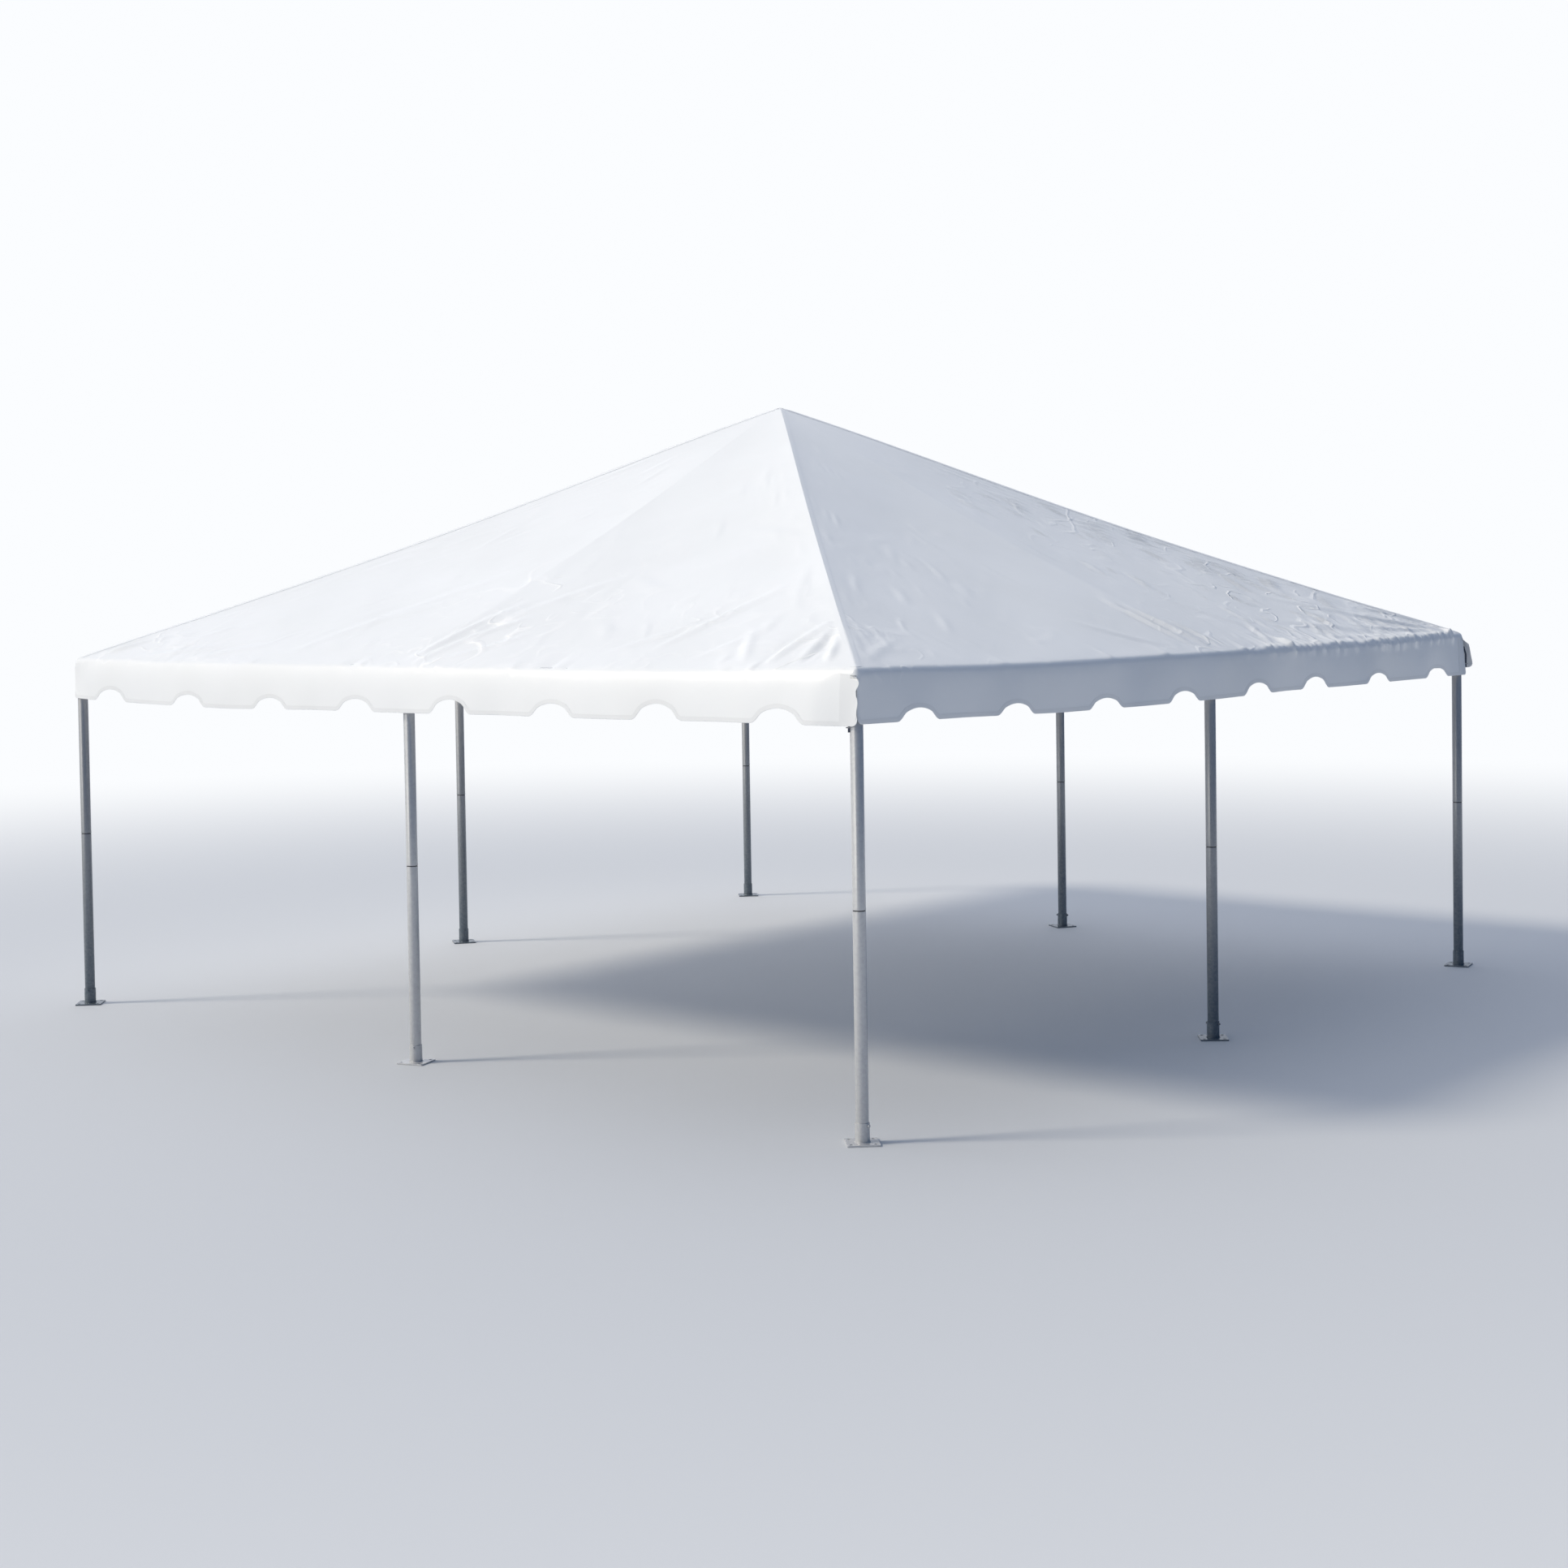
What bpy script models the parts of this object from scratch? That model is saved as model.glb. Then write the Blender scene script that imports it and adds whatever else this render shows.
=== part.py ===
# Square frame tent: a white vinyl hip top with a scalloped valance, carried by a frame of
# round galvanised pipe on eight legs with base plates.
# Metres, +Z up. The origin is on the ground under the peak; the front is at -Y, the right at +X.

from math import atan2, cos, pi, radians, sin

import bmesh
import bpy
from mathutils import Matrix, Vector

# Frame lines
HALF = 3.048            # middle of the tent to a side's legs, so 20 ft from leg to leg
EAVE_Z = 2.085          # centre line of the eave pipes
PEAK_Z = 3.58           # where the rafters' centre lines meet

# Pipe: 2 3/8 in tube
PIPE_R = 0.03015
PIPE_WALL = 0.00165
PIPE_SIDES = 12
FIT = 0.0003            # gap between pieces that touch

# Fittings: an arm as thick as the pipe, then a stub that fills the pipe's end
ARM = 0.11
CROWN_ARM = 0.15
STUB = 0.09
STUB_R = 0.0273
CROWN_HUB_R = 0.062
CROWN_HUB_LOW = -0.075
CROWN_HUB_TOP = 0.003

# Legs and base plates
LEG_JOINT_Z = 1.05      # where the lower length meets the upper one
JOINT_WIDTH = 0.003
JOINT_DEPTH = 0.0008
PLATE_SIDE = 0.1524
PLATE_THICK = 0.008
SLEEVE_WALL = 0.0035
SLEEVE_TOP = 0.095
PIN_Z = 0.083
PIN_R = 0.006
PIN_STANDS_OUT = 0.009
STAKE_HOLE_R = 0.008
STAKE_HOLE_INSET = 0.021
HOLE_SIDES = 8

# Canopy: 4 mm here, vinyl cloth on the real tent
CLOTH = 0.004
CLOTH_GAP = 0.0008      # above the pipes, so that the sagging cloth clears the hip rafters
SAG = 0.02
TOP_COLUMNS = 10
TOP_ROWS = 9
ROLL_ROWS = 4
APEX_START = 0.001
MITRE = 0.0003

# Valance
VALANCE_LOW_Z = 1.855
NOTCHES = 8
NOTCH_PITCH = 0.757
NOTCH_WIDTH = 0.30
NOTCH_DEPTH = 0.067
NOTCH_POINTS = 10
TAB_CORNER = 0.035

# What the sizes above give
RISE = PEAK_Z - EAVE_Z
SLOPE = atan2(RISE, HALF)
CLOTH_R = PIPE_R + CLOTH_GAP
ROLL_START = HALF + CLOTH_R * sin(SLOPE)
VALANCE_Y = HALF + CLOTH_R

SIDES = {"front": 0, "right": 90, "back": 180, "left": 270}
CORNERS = {"front_left": 0, "front_right": 90, "back_right": 180, "back_left": 270}

# Each foot: x and y in half widths, then the turns of its plate and its pin in degrees
FEET = {
    "front_left": (-1, -1, 45, -50),
    "front_middle": (0, -1, 20, -60),
    "front_right": (1, -1, 45, 0),
    "right_middle": (1, 0, 38, 0),
    "back_right": (1, 1, 14, -40),
    "back_middle": (0, 1, 60, 20),
    "back_left": (-1, 1, 45, -45),
    "left_middle": (-1, 0, 55, -30),
}


def material(name, colour, roughness, metallic):
    mat = bpy.data.materials.new(name)
    mat.use_nodes = True
    shader = mat.node_tree.nodes["Principled BSDF"]
    shader.inputs["Base Color"].default_value = (*colour, 1)
    shader.inputs["Roughness"].default_value = roughness
    shader.inputs["Metallic"].default_value = metallic
    return mat


def add(name, data, mat, place=Matrix.Identity(4), into=None):
    obj = bpy.data.objects.new(name, data)
    obj.matrix_world = place
    if mat and not data.materials:
        data.materials.append(mat)
    (into or tent).objects.link(obj)
    return obj


def cutter(name, data, place=Matrix.Identity(4)):
    obj = add(name, data, None, place, helpers)
    obj.hide_render = True
    obj.display_type = "WIRE"
    return obj


def along(start, end):
    # A frame at start whose Z axis points at end
    turn = (end - start).to_track_quat("Z", "Y").to_matrix().to_4x4()
    return Matrix.Translation(start) @ turn


def turn_z(degrees):
    return Matrix.Rotation(radians(degrees), 4, "Z")


def boolean(obj, tool, operation):
    mod = obj.modifiers.new(tool.name, "BOOLEAN")
    mod.operation = operation
    mod.solver = "EXACT"
    mod.object = tool


def baked(obj):
    # The mesh that the object's modifiers give, for copies to share
    bpy.context.view_layer.update()
    evaluated = obj.evaluated_get(bpy.context.evaluated_depsgraph_get())
    mesh = bpy.data.meshes.new_from_object(evaluated)
    mesh.name = obj.name
    bpy.data.objects.remove(obj)
    return mesh


def shaded(mesh):
    mesh.shade_smooth()
    mesh.set_sharp_from_angle(angle=radians(40))
    return mesh


def turned(name, profile):
    # A closed outline of (radius, height) points, turned once round Z. It runs down the
    # outer side first.
    mesh = bpy.data.meshes.new(name)
    count = len(profile)
    points = [(r, 0, z) for r, z in profile]
    mesh.from_pydata(points, [(i, (i + 1) % count) for i in range(count)], [])
    obj = cutter(name, mesh)
    screw = obj.modifiers.new("Turn", "SCREW")
    screw.steps = screw.render_steps = PIPE_SIDES
    screw.use_merge_vertices = True
    screw.merge_threshold = 0.00001
    return shaded(baked(obj))


def cylinder(name, radius, low, high, sides=PIPE_SIDES):
    bm = bmesh.new()
    bmesh.ops.create_cone(bm, cap_ends=True, segments=sides, radius1=radius, radius2=radius,
                          depth=high - low)
    bmesh.ops.translate(bm, vec=(0, 0, (low + high) / 2), verts=bm.verts)
    mesh = bpy.data.meshes.new(name)
    bm.to_mesh(mesh)
    bm.free()
    return mesh


def pipe_mesh(name, length):
    inner = PIPE_R - PIPE_WALL
    return turned(name, [(PIPE_R, length), (PIPE_R, 0), (inner, 0), (inner, length)])


# Frame nodes and pipes

def fitting_mesh(name, arms, hub):
    # Arms from one point, each ending in its stub, joined into one casting
    for index, (direction, arm) in enumerate(arms):
        place = along(Vector(), Vector(direction))
        for part, radius, low, high in (("arm", PIPE_R, 0, arm), ("stub", STUB_R, arm / 2, arm + STUB)):
            tool = cutter(f"{name}_{part}_{index}", cylinder(part, radius, low, high), place)
            boolean(hub, tool, "UNION")
    return shaded(baked(hub))


def ball_hub(name):
    bm = bmesh.new()
    bmesh.ops.create_uvsphere(bm, u_segments=PIPE_SIDES, v_segments=8, radius=PIPE_R + FIT)
    mesh = bpy.data.meshes.new(name)
    bm.to_mesh(mesh)
    bm.free()
    return add(name, mesh, steel)


def make_fittings():
    hip_up, rafter_up = (HALF, HALF, RISE), (0, HALF, RISE)
    down, east, west, north = (0, 0, -1), (1, 0, 0), (-1, 0, 0), (0, 1, 0)
    corner = fitting_mesh("corner_fitting", [(d, ARM) for d in (east, north, down, hip_up)],
                          ball_hub("corner_hub"))
    side = fitting_mesh("side_fitting", [(d, ARM) for d in (east, west, down, rafter_up)],
                        ball_hub("side_hub"))
    for name, angle in CORNERS.items():
        place = turn_z(angle) @ Matrix.Translation((-HALF, -HALF, EAVE_Z))
        add(f"corner_fitting_{name}", corner, steel, place)
    for name, angle in SIDES.items():
        place = turn_z(angle) @ Matrix.Translation((0, -HALF, EAVE_Z))
        add(f"side_fitting_{name}", side, steel, place)


def make_crown():
    hub = add("crown_hub", cylinder("crown_hub", CROWN_HUB_R, CROWN_HUB_LOW, CROWN_HUB_TOP, 16), steel)
    arms = []
    for angle in range(0, 360, 90):
        for direction in ((-HALF, -HALF, -RISE), (0, -HALF, -RISE)):
            arms.append((turn_z(angle) @ Vector(direction), CROWN_ARM))
    add("crown_fitting", fitting_mesh("crown_fitting", arms, hub), steel,
        Matrix.Translation((0, 0, PEAK_Z)))


def make_eave_pipes():
    length = HALF - 2 * (ARM + FIT)
    mesh = pipe_mesh("eave_pipe", length)
    sides = list(SIDES)
    for index, (name, angle) in enumerate(SIDES.items()):
        before, after = sides[index - 1], sides[(index + 1) % 4]
        for end, x in ((before, -HALF + ARM + FIT), (after, ARM + FIT)):
            start = Vector((x, -HALF, EAVE_Z))
            place = turn_z(angle) @ along(start, start + Vector((1, 0, 0)))
            add(f"eave_pipe_{name}_{end}", mesh, steel, place)


def make_rafters():
    peak = Vector((0, 0, PEAK_Z))
    kinds = (("hip_rafter", CORNERS, Vector((-HALF, -HALF, EAVE_Z))),
             ("mid_rafter", SIDES, Vector((0, -HALF, EAVE_Z))))
    for kind, places, low in kinds:
        up = (peak - low).normalized()
        start, end = low + up * (ARM + FIT), peak - up * (CROWN_ARM + FIT)
        mesh = pipe_mesh(kind, (end - start).length)
        for name, angle in places.items():
            add(f"{kind}_{name}", mesh, steel, turn_z(angle) @ along(start, end))


# Legs and base plates

def make_legs():
    low = PLATE_THICK + FIT
    top = EAVE_Z - ARM - FIT - low
    joint = LEG_JOINT_Z - low
    inner, neck = PIPE_R - PIPE_WALL, PIPE_R - JOINT_DEPTH
    upper, lower = joint + JOINT_WIDTH / 2, joint - JOINT_WIDTH / 2
    profile = [(PIPE_R, top), (PIPE_R, upper), (neck, upper), (neck, lower), (PIPE_R, lower),
               (PIPE_R, 0), (inner, 0), (inner, top)]
    mesh = turned("leg", profile)
    for name, (x, y, _, _) in FEET.items():
        add(f"leg_{name}", mesh, steel, Matrix.Translation((x * HALF, y * HALF, low)))


def stake_holes(place):
    # Four upright cutters near the plate's corners, in one mesh
    bm = bmesh.new()
    reach = PLATE_SIDE / 2 - STAKE_HOLE_INSET
    for x in (-reach, reach):
        for y in (-reach, reach):
            bmesh.ops.create_cone(bm, cap_ends=True, segments=HOLE_SIDES, radius1=STAKE_HOLE_R,
                                  radius2=STAKE_HOLE_R, depth=4 * PLATE_THICK,
                                  matrix=Matrix.Translation((x, y, 0)))
    mesh = bpy.data.meshes.new("stake_holes")
    bm.to_mesh(mesh)
    bm.free()
    return cutter("stake_holes", mesh, place)


def base_plate(name, x, y, plate_turn, pin_turn):
    foot = Matrix.Translation((x * HALF, y * HALF, 0))
    bm = bmesh.new()
    size = Matrix.Diagonal((PLATE_SIDE, PLATE_SIDE, PLATE_THICK, 1))
    bmesh.ops.create_cube(bm, matrix=Matrix.Translation((0, 0, PLATE_THICK / 2)) @ size)
    mesh = bpy.data.meshes.new(name)
    bm.to_mesh(mesh)
    bm.free()
    plate = add(f"base_plate_{name}", mesh, steel, foot @ turn_z(plate_turn))

    inner = PIPE_R + FIT
    outer = inner + SLEEVE_WALL
    low = PLATE_THICK / 2
    ring = turned("sleeve", [(outer, SLEEVE_TOP), (outer, low), (inner, low), (inner, SLEEVE_TOP)])
    boolean(plate, cutter(f"sleeve_{name}", ring, foot), "UNION")
    pin = cylinder("pin", PIN_R, outer - SLEEVE_WALL / 2, outer + PIN_STANDS_OUT, HOLE_SIDES)
    for index, angle in enumerate((pin_turn, pin_turn + 180)):
        level = Matrix.Translation((0, 0, PIN_Z)) @ turn_z(angle) @ Matrix.Rotation(pi / 2, 4, "Y")
        boolean(plate, cutter(f"pin_{name}_{index}", pin, foot @ level), "UNION")
    boolean(plate, stake_holes(foot @ turn_z(plate_turn)), "DIFFERENCE")


# Canopy

def underside(distance, across):
    # Height of the cloth's underside: a plane over the rafters, which sags a little in each
    # of its two triangles between a hip rafter and the mid rafter.
    plane = PEAK_Z + CLOTH_R / cos(SLOPE) - distance * RISE / HALF
    out = min(distance / HALF, 1)
    dip = 27 * (1 - out) * out ** 2 * abs(across) * (1 - abs(across))
    return plane - SAG * dip


def top_row(row):
    # Distance from the middle and height above the plane's own, for each row of the panel:
    # down the slope, then round the eave pipe to where the valance hangs.
    if row <= TOP_ROWS:
        return APEX_START + (ROLL_START - APEX_START) * row / TOP_ROWS, None
    angle = SLOPE + (pi / 2 - SLOPE) * (row - TOP_ROWS) / ROLL_ROWS
    return HALF + CLOTH_R * sin(angle), EAVE_Z + CLOTH_R * cos(angle)


def roof_panel_mesh():
    rows = TOP_ROWS + ROLL_ROWS
    bm = bmesh.new()
    bmesh.ops.create_grid(bm, x_segments=TOP_COLUMNS, y_segments=rows, size=0.5)
    for vert in bm.verts:
        across = 2 * vert.co.x
        row = round((0.5 - vert.co.y) * rows)
        distance, height = top_row(row)
        if height is None:
            height = underside(distance, across)
        width = 0 if row == 0 else distance - MITRE
        vert.co = (across * width, -distance, height)
    bmesh.ops.remove_doubles(bm, verts=bm.verts, dist=0.000001)
    bmesh.ops.recalc_face_normals(bm, faces=bm.faces)
    if sum(face.normal.z for face in bm.faces) < 0:
        bmesh.ops.reverse_faces(bm, faces=bm.faces)
    mesh = bpy.data.meshes.new("roof_panel")
    bm.to_mesh(mesh)
    bm.free()
    return shaded(mesh)


def make_roof():
    mesh = roof_panel_mesh()
    for name, angle in SIDES.items():
        panel = add(f"roof_panel_{name}", mesh, vinyl, turn_z(angle))
        solid = panel.modifiers.new("Cloth", "SOLIDIFY")
        solid.thickness = CLOTH
        solid.offset = 1


def valance_outline():
    # Straight along the top; below, wide tabs between notches with rounded shoulders
    end = VALANCE_Y - FIT
    low, top = VALANCE_LOW_Z, EAVE_Z - FIT
    points = [(end, top), (-end, top), (-end, low + TAB_CORNER)]
    for step in (1, 2, 3):
        angle = step * pi / 6
        points.append((-end + TAB_CORNER * (1 - cos(angle)), low + TAB_CORNER * (1 - sin(angle))))
    for index in range(NOTCHES):
        middle = (index - (NOTCHES - 1) / 2) * NOTCH_PITCH
        for step in range(NOTCH_POINTS + 1):
            offset = (step / NOTCH_POINTS - 0.5) * NOTCH_WIDTH
            rise = (0.5 + 0.5 * cos(2 * pi * offset / NOTCH_WIDTH)) ** 0.8
            points.append((middle + offset, low + NOTCH_DEPTH * rise))
    for step in (3, 2, 1):
        angle = step * pi / 6
        points.append((end - TAB_CORNER * (1 - cos(angle)), low + TAB_CORNER * (1 - sin(angle))))
    points.append((end, low + TAB_CORNER))
    return points


def make_valances():
    curve = bpy.data.curves.new("valance", "CURVE")
    curve.dimensions = "2D"
    curve.fill_mode = "BOTH"
    curve.extrude = CLOTH / 2
    points = valance_outline()
    spline = curve.splines.new("POLY")
    spline.points.add(len(points) - 1)
    for point, (x, z) in zip(spline.points, points):
        point.co = (x, z, 0, 1)
    spline.use_cyclic_u = True
    upright = Matrix.Translation((0, -VALANCE_Y - CLOTH / 2, 0)) @ Matrix.Rotation(pi / 2, 4, "X")
    for name, angle in SIDES.items():
        add(f"valance_{name}", curve, vinyl, turn_z(angle) @ upright)


for old in list(bpy.data.objects):
    bpy.data.objects.remove(old)
tent = bpy.data.collections.new("Frame tent")
helpers = bpy.data.collections.new("Cutters")
for group in (tent, helpers):
    bpy.context.scene.collection.children.link(group)

steel = material("Galvanised steel", (0.56, 0.57, 0.60), 0.35, 1.0)
vinyl = material("White vinyl", (0.86, 0.87, 0.89), 0.45, 0.0)

make_fittings()
make_crown()
make_eave_pipes()
make_rafters()
make_legs()
for foot_name, foot_place in FEET.items():
    base_plate(foot_name, *foot_place)
make_roof()
make_valances()
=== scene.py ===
import bpy
import numpy as np
from mathutils import Matrix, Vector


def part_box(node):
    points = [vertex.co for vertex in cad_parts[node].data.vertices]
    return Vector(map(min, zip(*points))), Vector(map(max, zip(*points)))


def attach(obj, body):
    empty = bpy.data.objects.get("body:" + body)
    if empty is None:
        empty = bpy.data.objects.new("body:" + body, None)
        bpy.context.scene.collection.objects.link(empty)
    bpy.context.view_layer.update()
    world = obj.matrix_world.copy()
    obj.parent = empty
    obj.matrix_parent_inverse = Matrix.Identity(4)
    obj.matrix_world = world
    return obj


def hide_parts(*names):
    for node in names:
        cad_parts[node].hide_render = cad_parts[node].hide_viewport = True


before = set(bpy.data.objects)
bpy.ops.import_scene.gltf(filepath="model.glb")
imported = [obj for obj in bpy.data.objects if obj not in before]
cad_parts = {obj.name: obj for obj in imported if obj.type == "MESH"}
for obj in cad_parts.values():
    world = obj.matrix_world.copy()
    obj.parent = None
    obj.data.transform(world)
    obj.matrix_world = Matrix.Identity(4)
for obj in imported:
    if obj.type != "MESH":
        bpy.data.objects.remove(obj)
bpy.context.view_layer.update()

# The camera comes first
cameraPlan = {
    "place": (9.760, -11.325, 2.520),
    "yaw": -40.754,        # degrees to the right of looking along +Y
    "pitch": -1.815,
    "roll": -0.888,
    "lens": 54.87,
    "shiftDown": 0.08,     # keeps the legs nearly upright in the picture
    "seesTo": 200.0,
}


def makeCamera(plan):
    # Right, up and back directions from the yaw, pitch and roll, as a camera's axes
    yaw, pitch, roll = np.radians([plan["yaw"], plan["pitch"], plan["roll"]])
    ahead = np.array([np.sin(yaw) * np.cos(pitch), np.cos(yaw) * np.cos(pitch), np.sin(pitch)])
    level = np.array([np.cos(yaw), -np.sin(yaw), 0])
    upright = np.cross(level, ahead)
    right = np.cos(roll) * level + np.sin(roll) * upright
    up = np.cos(roll) * upright - np.sin(roll) * level
    camera = bpy.data.objects.new("camera", bpy.data.cameras.new("camera"))
    matrix = np.eye(4)
    matrix[:3] = np.column_stack([right, up, -ahead, plan["place"]])
    camera.matrix_world = Matrix(matrix.tolist())
    camera.data.lens = plan["lens"]
    camera.data.shift_y = -plan["shiftDown"]
    camera.data.clip_end = plan["seesTo"]
    bpy.context.scene.collection.objects.link(camera)
    bpy.context.scene.camera = camera


makeCamera(cameraPlan)
print("camera placed")


# The tent's own lines, read from the frame
def middleOf(node):
    low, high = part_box(node)
    return (np.array(low) + np.array(high)) / 2


def sizeOf(node):
    low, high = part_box(node)
    return np.array(high) - np.array(low)


half = middleOf("leg_front_right")[0]              # middle of the tent to the line of the legs
pipeRadius = sizeOf("leg_front_right")[0] / 2
eaveZ = middleOf("eave_pipe_front_left")[2]
rafterMiddle = middleOf("mid_rafter_front")
tanSlope = (rafterMiddle[2] - eaveZ) / (half + rafterMiddle[1])
peakZ = eaveZ + half * tanSlope                    # where the rafters' centre lines meet
slope = np.arctan(tanSlope)
jointZ = 1.05                                      # where a leg's two lengths meet
sides = {"front": 0, "right": 1, "back": 2, "left": 3}     # quarter turns
corners = {"front_left": (-1, -1), "front_right": (1, -1), "back_right": (1, 1), "back_left": (-1, 1)}
feet = dict(corners, front_middle=(0, -1), right_middle=(1, 0), back_middle=(0, 1), left_middle=(-1, 0))


# The rafters bow a little under the stretched cloth, and the corner fittings hold its corners up
shapePlan = {
    "bow": 0.030,
    "bowFrom": 0.17,          # the fittings at both ends stay straight
    "bowTo": 0.15,
    "cornerLift": {"front_left": 0.013, "front_right": 0.024, "back_right": 0.020, "back_left": 0.014},
    "liftReach": 0.8,         # along the eave
    "liftUp": 0.60,           # up the slope
}


def bowOf(distance):
    # Sixteen times the square of t times the square of 1 - t, flat at both ends of a rafter
    plan = shapePlan
    t = np.clip((distance - plan["bowFrom"]) / (half - plan["bowFrom"] - plan["bowTo"]), 0, 1)
    return plan["bow"] * 16 * t ** 2 * (1 - t) ** 2


def liftOf(side, x):
    # Each end of an eave is lifted by its corner's amount, times e to minus the square of the distance
    names = list(corners)
    left, right = (shapePlan["cornerLift"][names[(sides[side] + k) % 4]] for k in (0, 1))
    fade = [np.exp(-((half + end * x) / shapePlan["liftReach"]) ** 2) for end in (1, -1)]
    return left * fade[0] + right * fade[1]


# Mesh tools
def unit(vectors):
    # Each vector divided by its length
    return vectors / np.linalg.norm(vectors, axis=-1, keepdims=True)


def smoothStep(value):
    # Three value squared less two value cubed, held between 0 and 1
    value = np.clip(value, 0, 1)
    return value * value * (3 - 2 * value)


def quarterTurned(points, quarter):
    # Turned about the upright axis by whole quarter turns: x, y becomes minus y, x
    for _ in range(quarter):
        points = np.stack([-points[..., 1], points[..., 0], points[..., 2]], axis=-1)
    return points


def gridFaces(rows, columns, wrapRows=False, wrapColumns=False):
    # Quads between neighbours of a grid, facing along column direction x row direction
    index = np.arange(rows * columns).reshape(rows, columns)
    right, below = np.roll(index, -1, axis=1), np.roll(index, -1, axis=0)
    corner = np.roll(right, -1, axis=0)
    faces = np.stack([index, right, corner, below], axis=-1)
    return faces[:rows if wrapRows else rows - 1, :columns if wrapColumns else columns - 1].reshape(-1, 4)


def joined(skins):
    # Several skins as one: points, faces and the cloth or pipe coordinates of each face corner
    skins = list(skins)
    starts = np.cumsum([0] + [len(points) for points, _, _ in skins[:-1]])
    return (np.concatenate([points for points, _, _ in skins]),
            np.concatenate([faces + start for (_, faces, _), start in zip(skins, starts)]),
            np.concatenate([uv for _, _, uv in skins]))


def makePiece(name, skin, material, sharp=35):
    # Points that coincide become one, and a face corner that this doubles is dropped
    points, faces, uv = skin
    coincide = 0.00001
    _, first, same = np.unique(np.round(points / coincide), axis=0, return_index=True, return_inverse=True)
    faces = same.reshape(-1)[faces]
    keep = faces != np.roll(faces, 1, axis=1)
    whole = keep.sum(axis=1) > 2
    faces, uv, keep = faces[whole], uv[whole], keep[whole]
    ends = np.cumsum(keep.sum(axis=1))[:-1]
    mesh = bpy.data.meshes.new(name)
    mesh.from_pydata(points[first].tolist(), [], [f.tolist() for f in np.split(faces[keep], ends)])
    layer = mesh.uv_layers.new(name="cloth")
    layer.data.foreach_set("uv", uv[keep].astype(np.float32).ravel())
    mesh.shade_smooth()
    mesh.set_sharp_from_angle(angle=np.radians(sharp))
    piece = bpy.data.objects.new(name, mesh)
    bpy.context.scene.collection.objects.link(piece)
    mesh.materials.append(material)
    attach(piece, "root")
    return piece


def runOf(path):
    # Distance along a path to each of its points
    return np.append(0, np.cumsum(np.linalg.norm(np.diff(path, axis=0), axis=1)))


def gridCloth(faces, rowPlaces, columnPlaces):
    # The places of each face corner's row and column, on a grid whose columns wrap
    row, column = np.divmod(faces[:, :1], len(columnPlaces) - 1)
    return rowPlaces[row + np.array([0, 0, 1, 1])], columnPlaces[column + np.array([0, 1, 1, 0])]


def turnedSkin(profile, start, axis, sides):
    # A closed profile of (radius, distance along the axis) points, carried round the axis
    profile = np.array(profile, float)
    axis = unit(np.array(axis, float))
    helper = np.array([0, 0, 1.0]) if abs(axis[2]) < 0.9 else np.array([1.0, 0, 0])
    first = unit(np.cross(helper, axis))
    angle = np.arange(sides) * 2 * np.pi / sides
    around = np.cos(angle)[:, None] * first + np.sin(angle)[:, None] * np.cross(axis, first)
    points = np.array(start) + profile[:, 1, None, None] * axis + profile[:, 0, None, None] * around
    faces = gridFaces(len(profile), sides, wrapRows=True, wrapColumns=True)
    arc = 2 * np.pi * profile[:, 0].max() / sides
    along, across = gridCloth(faces, np.append(profile[:, 1], profile[0, 1]), np.arange(sides + 1) * arc)
    return points.reshape(-1, 3), faces, np.stack([across, along], axis=-1)


def lipPoints(radius, end, soft, way):
    # Three points round an outer rim: out over a tube's near end with way 1, in over its far end with -1
    points = [(radius - inner * soft, end + way * further * soft)
              for inner, further in ((1, 0), (0.3, 0.3), (0, 1))]
    return points[::way]


def sweptSkin(path, across, outward, outline):
    # A closed outline of (across, outward) offsets, carried along a path of points
    outline = np.array(outline, float)
    count = len(outline)
    points = (path[:, None] + outline[:, :1] * across + outline[:, 1:] * outward).reshape(-1, 3)
    faces = gridFaces(len(path), count, wrapColumns=True)
    uv = np.stack(gridCloth(faces, runOf(path), runOf(np.append(outline, outline[:1], axis=0))), axis=-1)
    # A fan round its own middle closes each end
    ring = np.arange(count)
    ahead = np.roll(ring, -1)
    last = len(points) - count
    near = len(points) + 0 * ring
    caps = [np.stack([ahead, ring, near, near], axis=1),
            np.stack([ring + last, ahead + last, near + 1, near + 1], axis=1)]
    points = np.concatenate([points, [points[:count].mean(0), points[last:].mean(0)]])
    return points, np.concatenate([faces] + caps), np.concatenate([uv, np.zeros((2 * count, 4, 2))])


def slabSkin(grid, outward, thick):
    # A thin closed slab: its back lies on a grid of points, and its face a thickness further out
    rows, columns = grid.shape[:2]
    back, face = grid.reshape(-1, 3), (grid + thick * outward).reshape(-1, 3)
    faces = gridFaces(rows, columns)
    index = np.arange(rows * columns).reshape(rows, columns)
    rim = np.concatenate([index[0], index[1:, -1], index[-1, -2::-1], index[-2:0:-1, 0]])
    ahead, count = np.roll(rim, -1), rows * columns
    walls = np.stack([rim, ahead, ahead + count, rim + count], axis=1)
    points, faces = np.concatenate([back, face]), np.concatenate([faces[:, ::-1], faces + count, walls])
    row, column = np.divmod(np.arange(count), columns)
    wide = np.linalg.norm(grid[0, -1] - grid[0, 0]) / (columns - 1)
    tall = np.linalg.norm(grid[-1, 0] - grid[0, 0]) / (rows - 1)
    flat = np.tile(np.stack([column * wide, row * tall], axis=1), (2, 1))
    return points, faces, flat[faces]


# Materials
def fill(node, inputs):
    # Each input is given a number, a colour or another node's socket
    for key, value in inputs.items():
        if isinstance(value, bpy.types.NodeSocket):
            node.id_data.links.new(value, node.inputs[key])
        else:
            node.inputs[key].default_value = value


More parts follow.
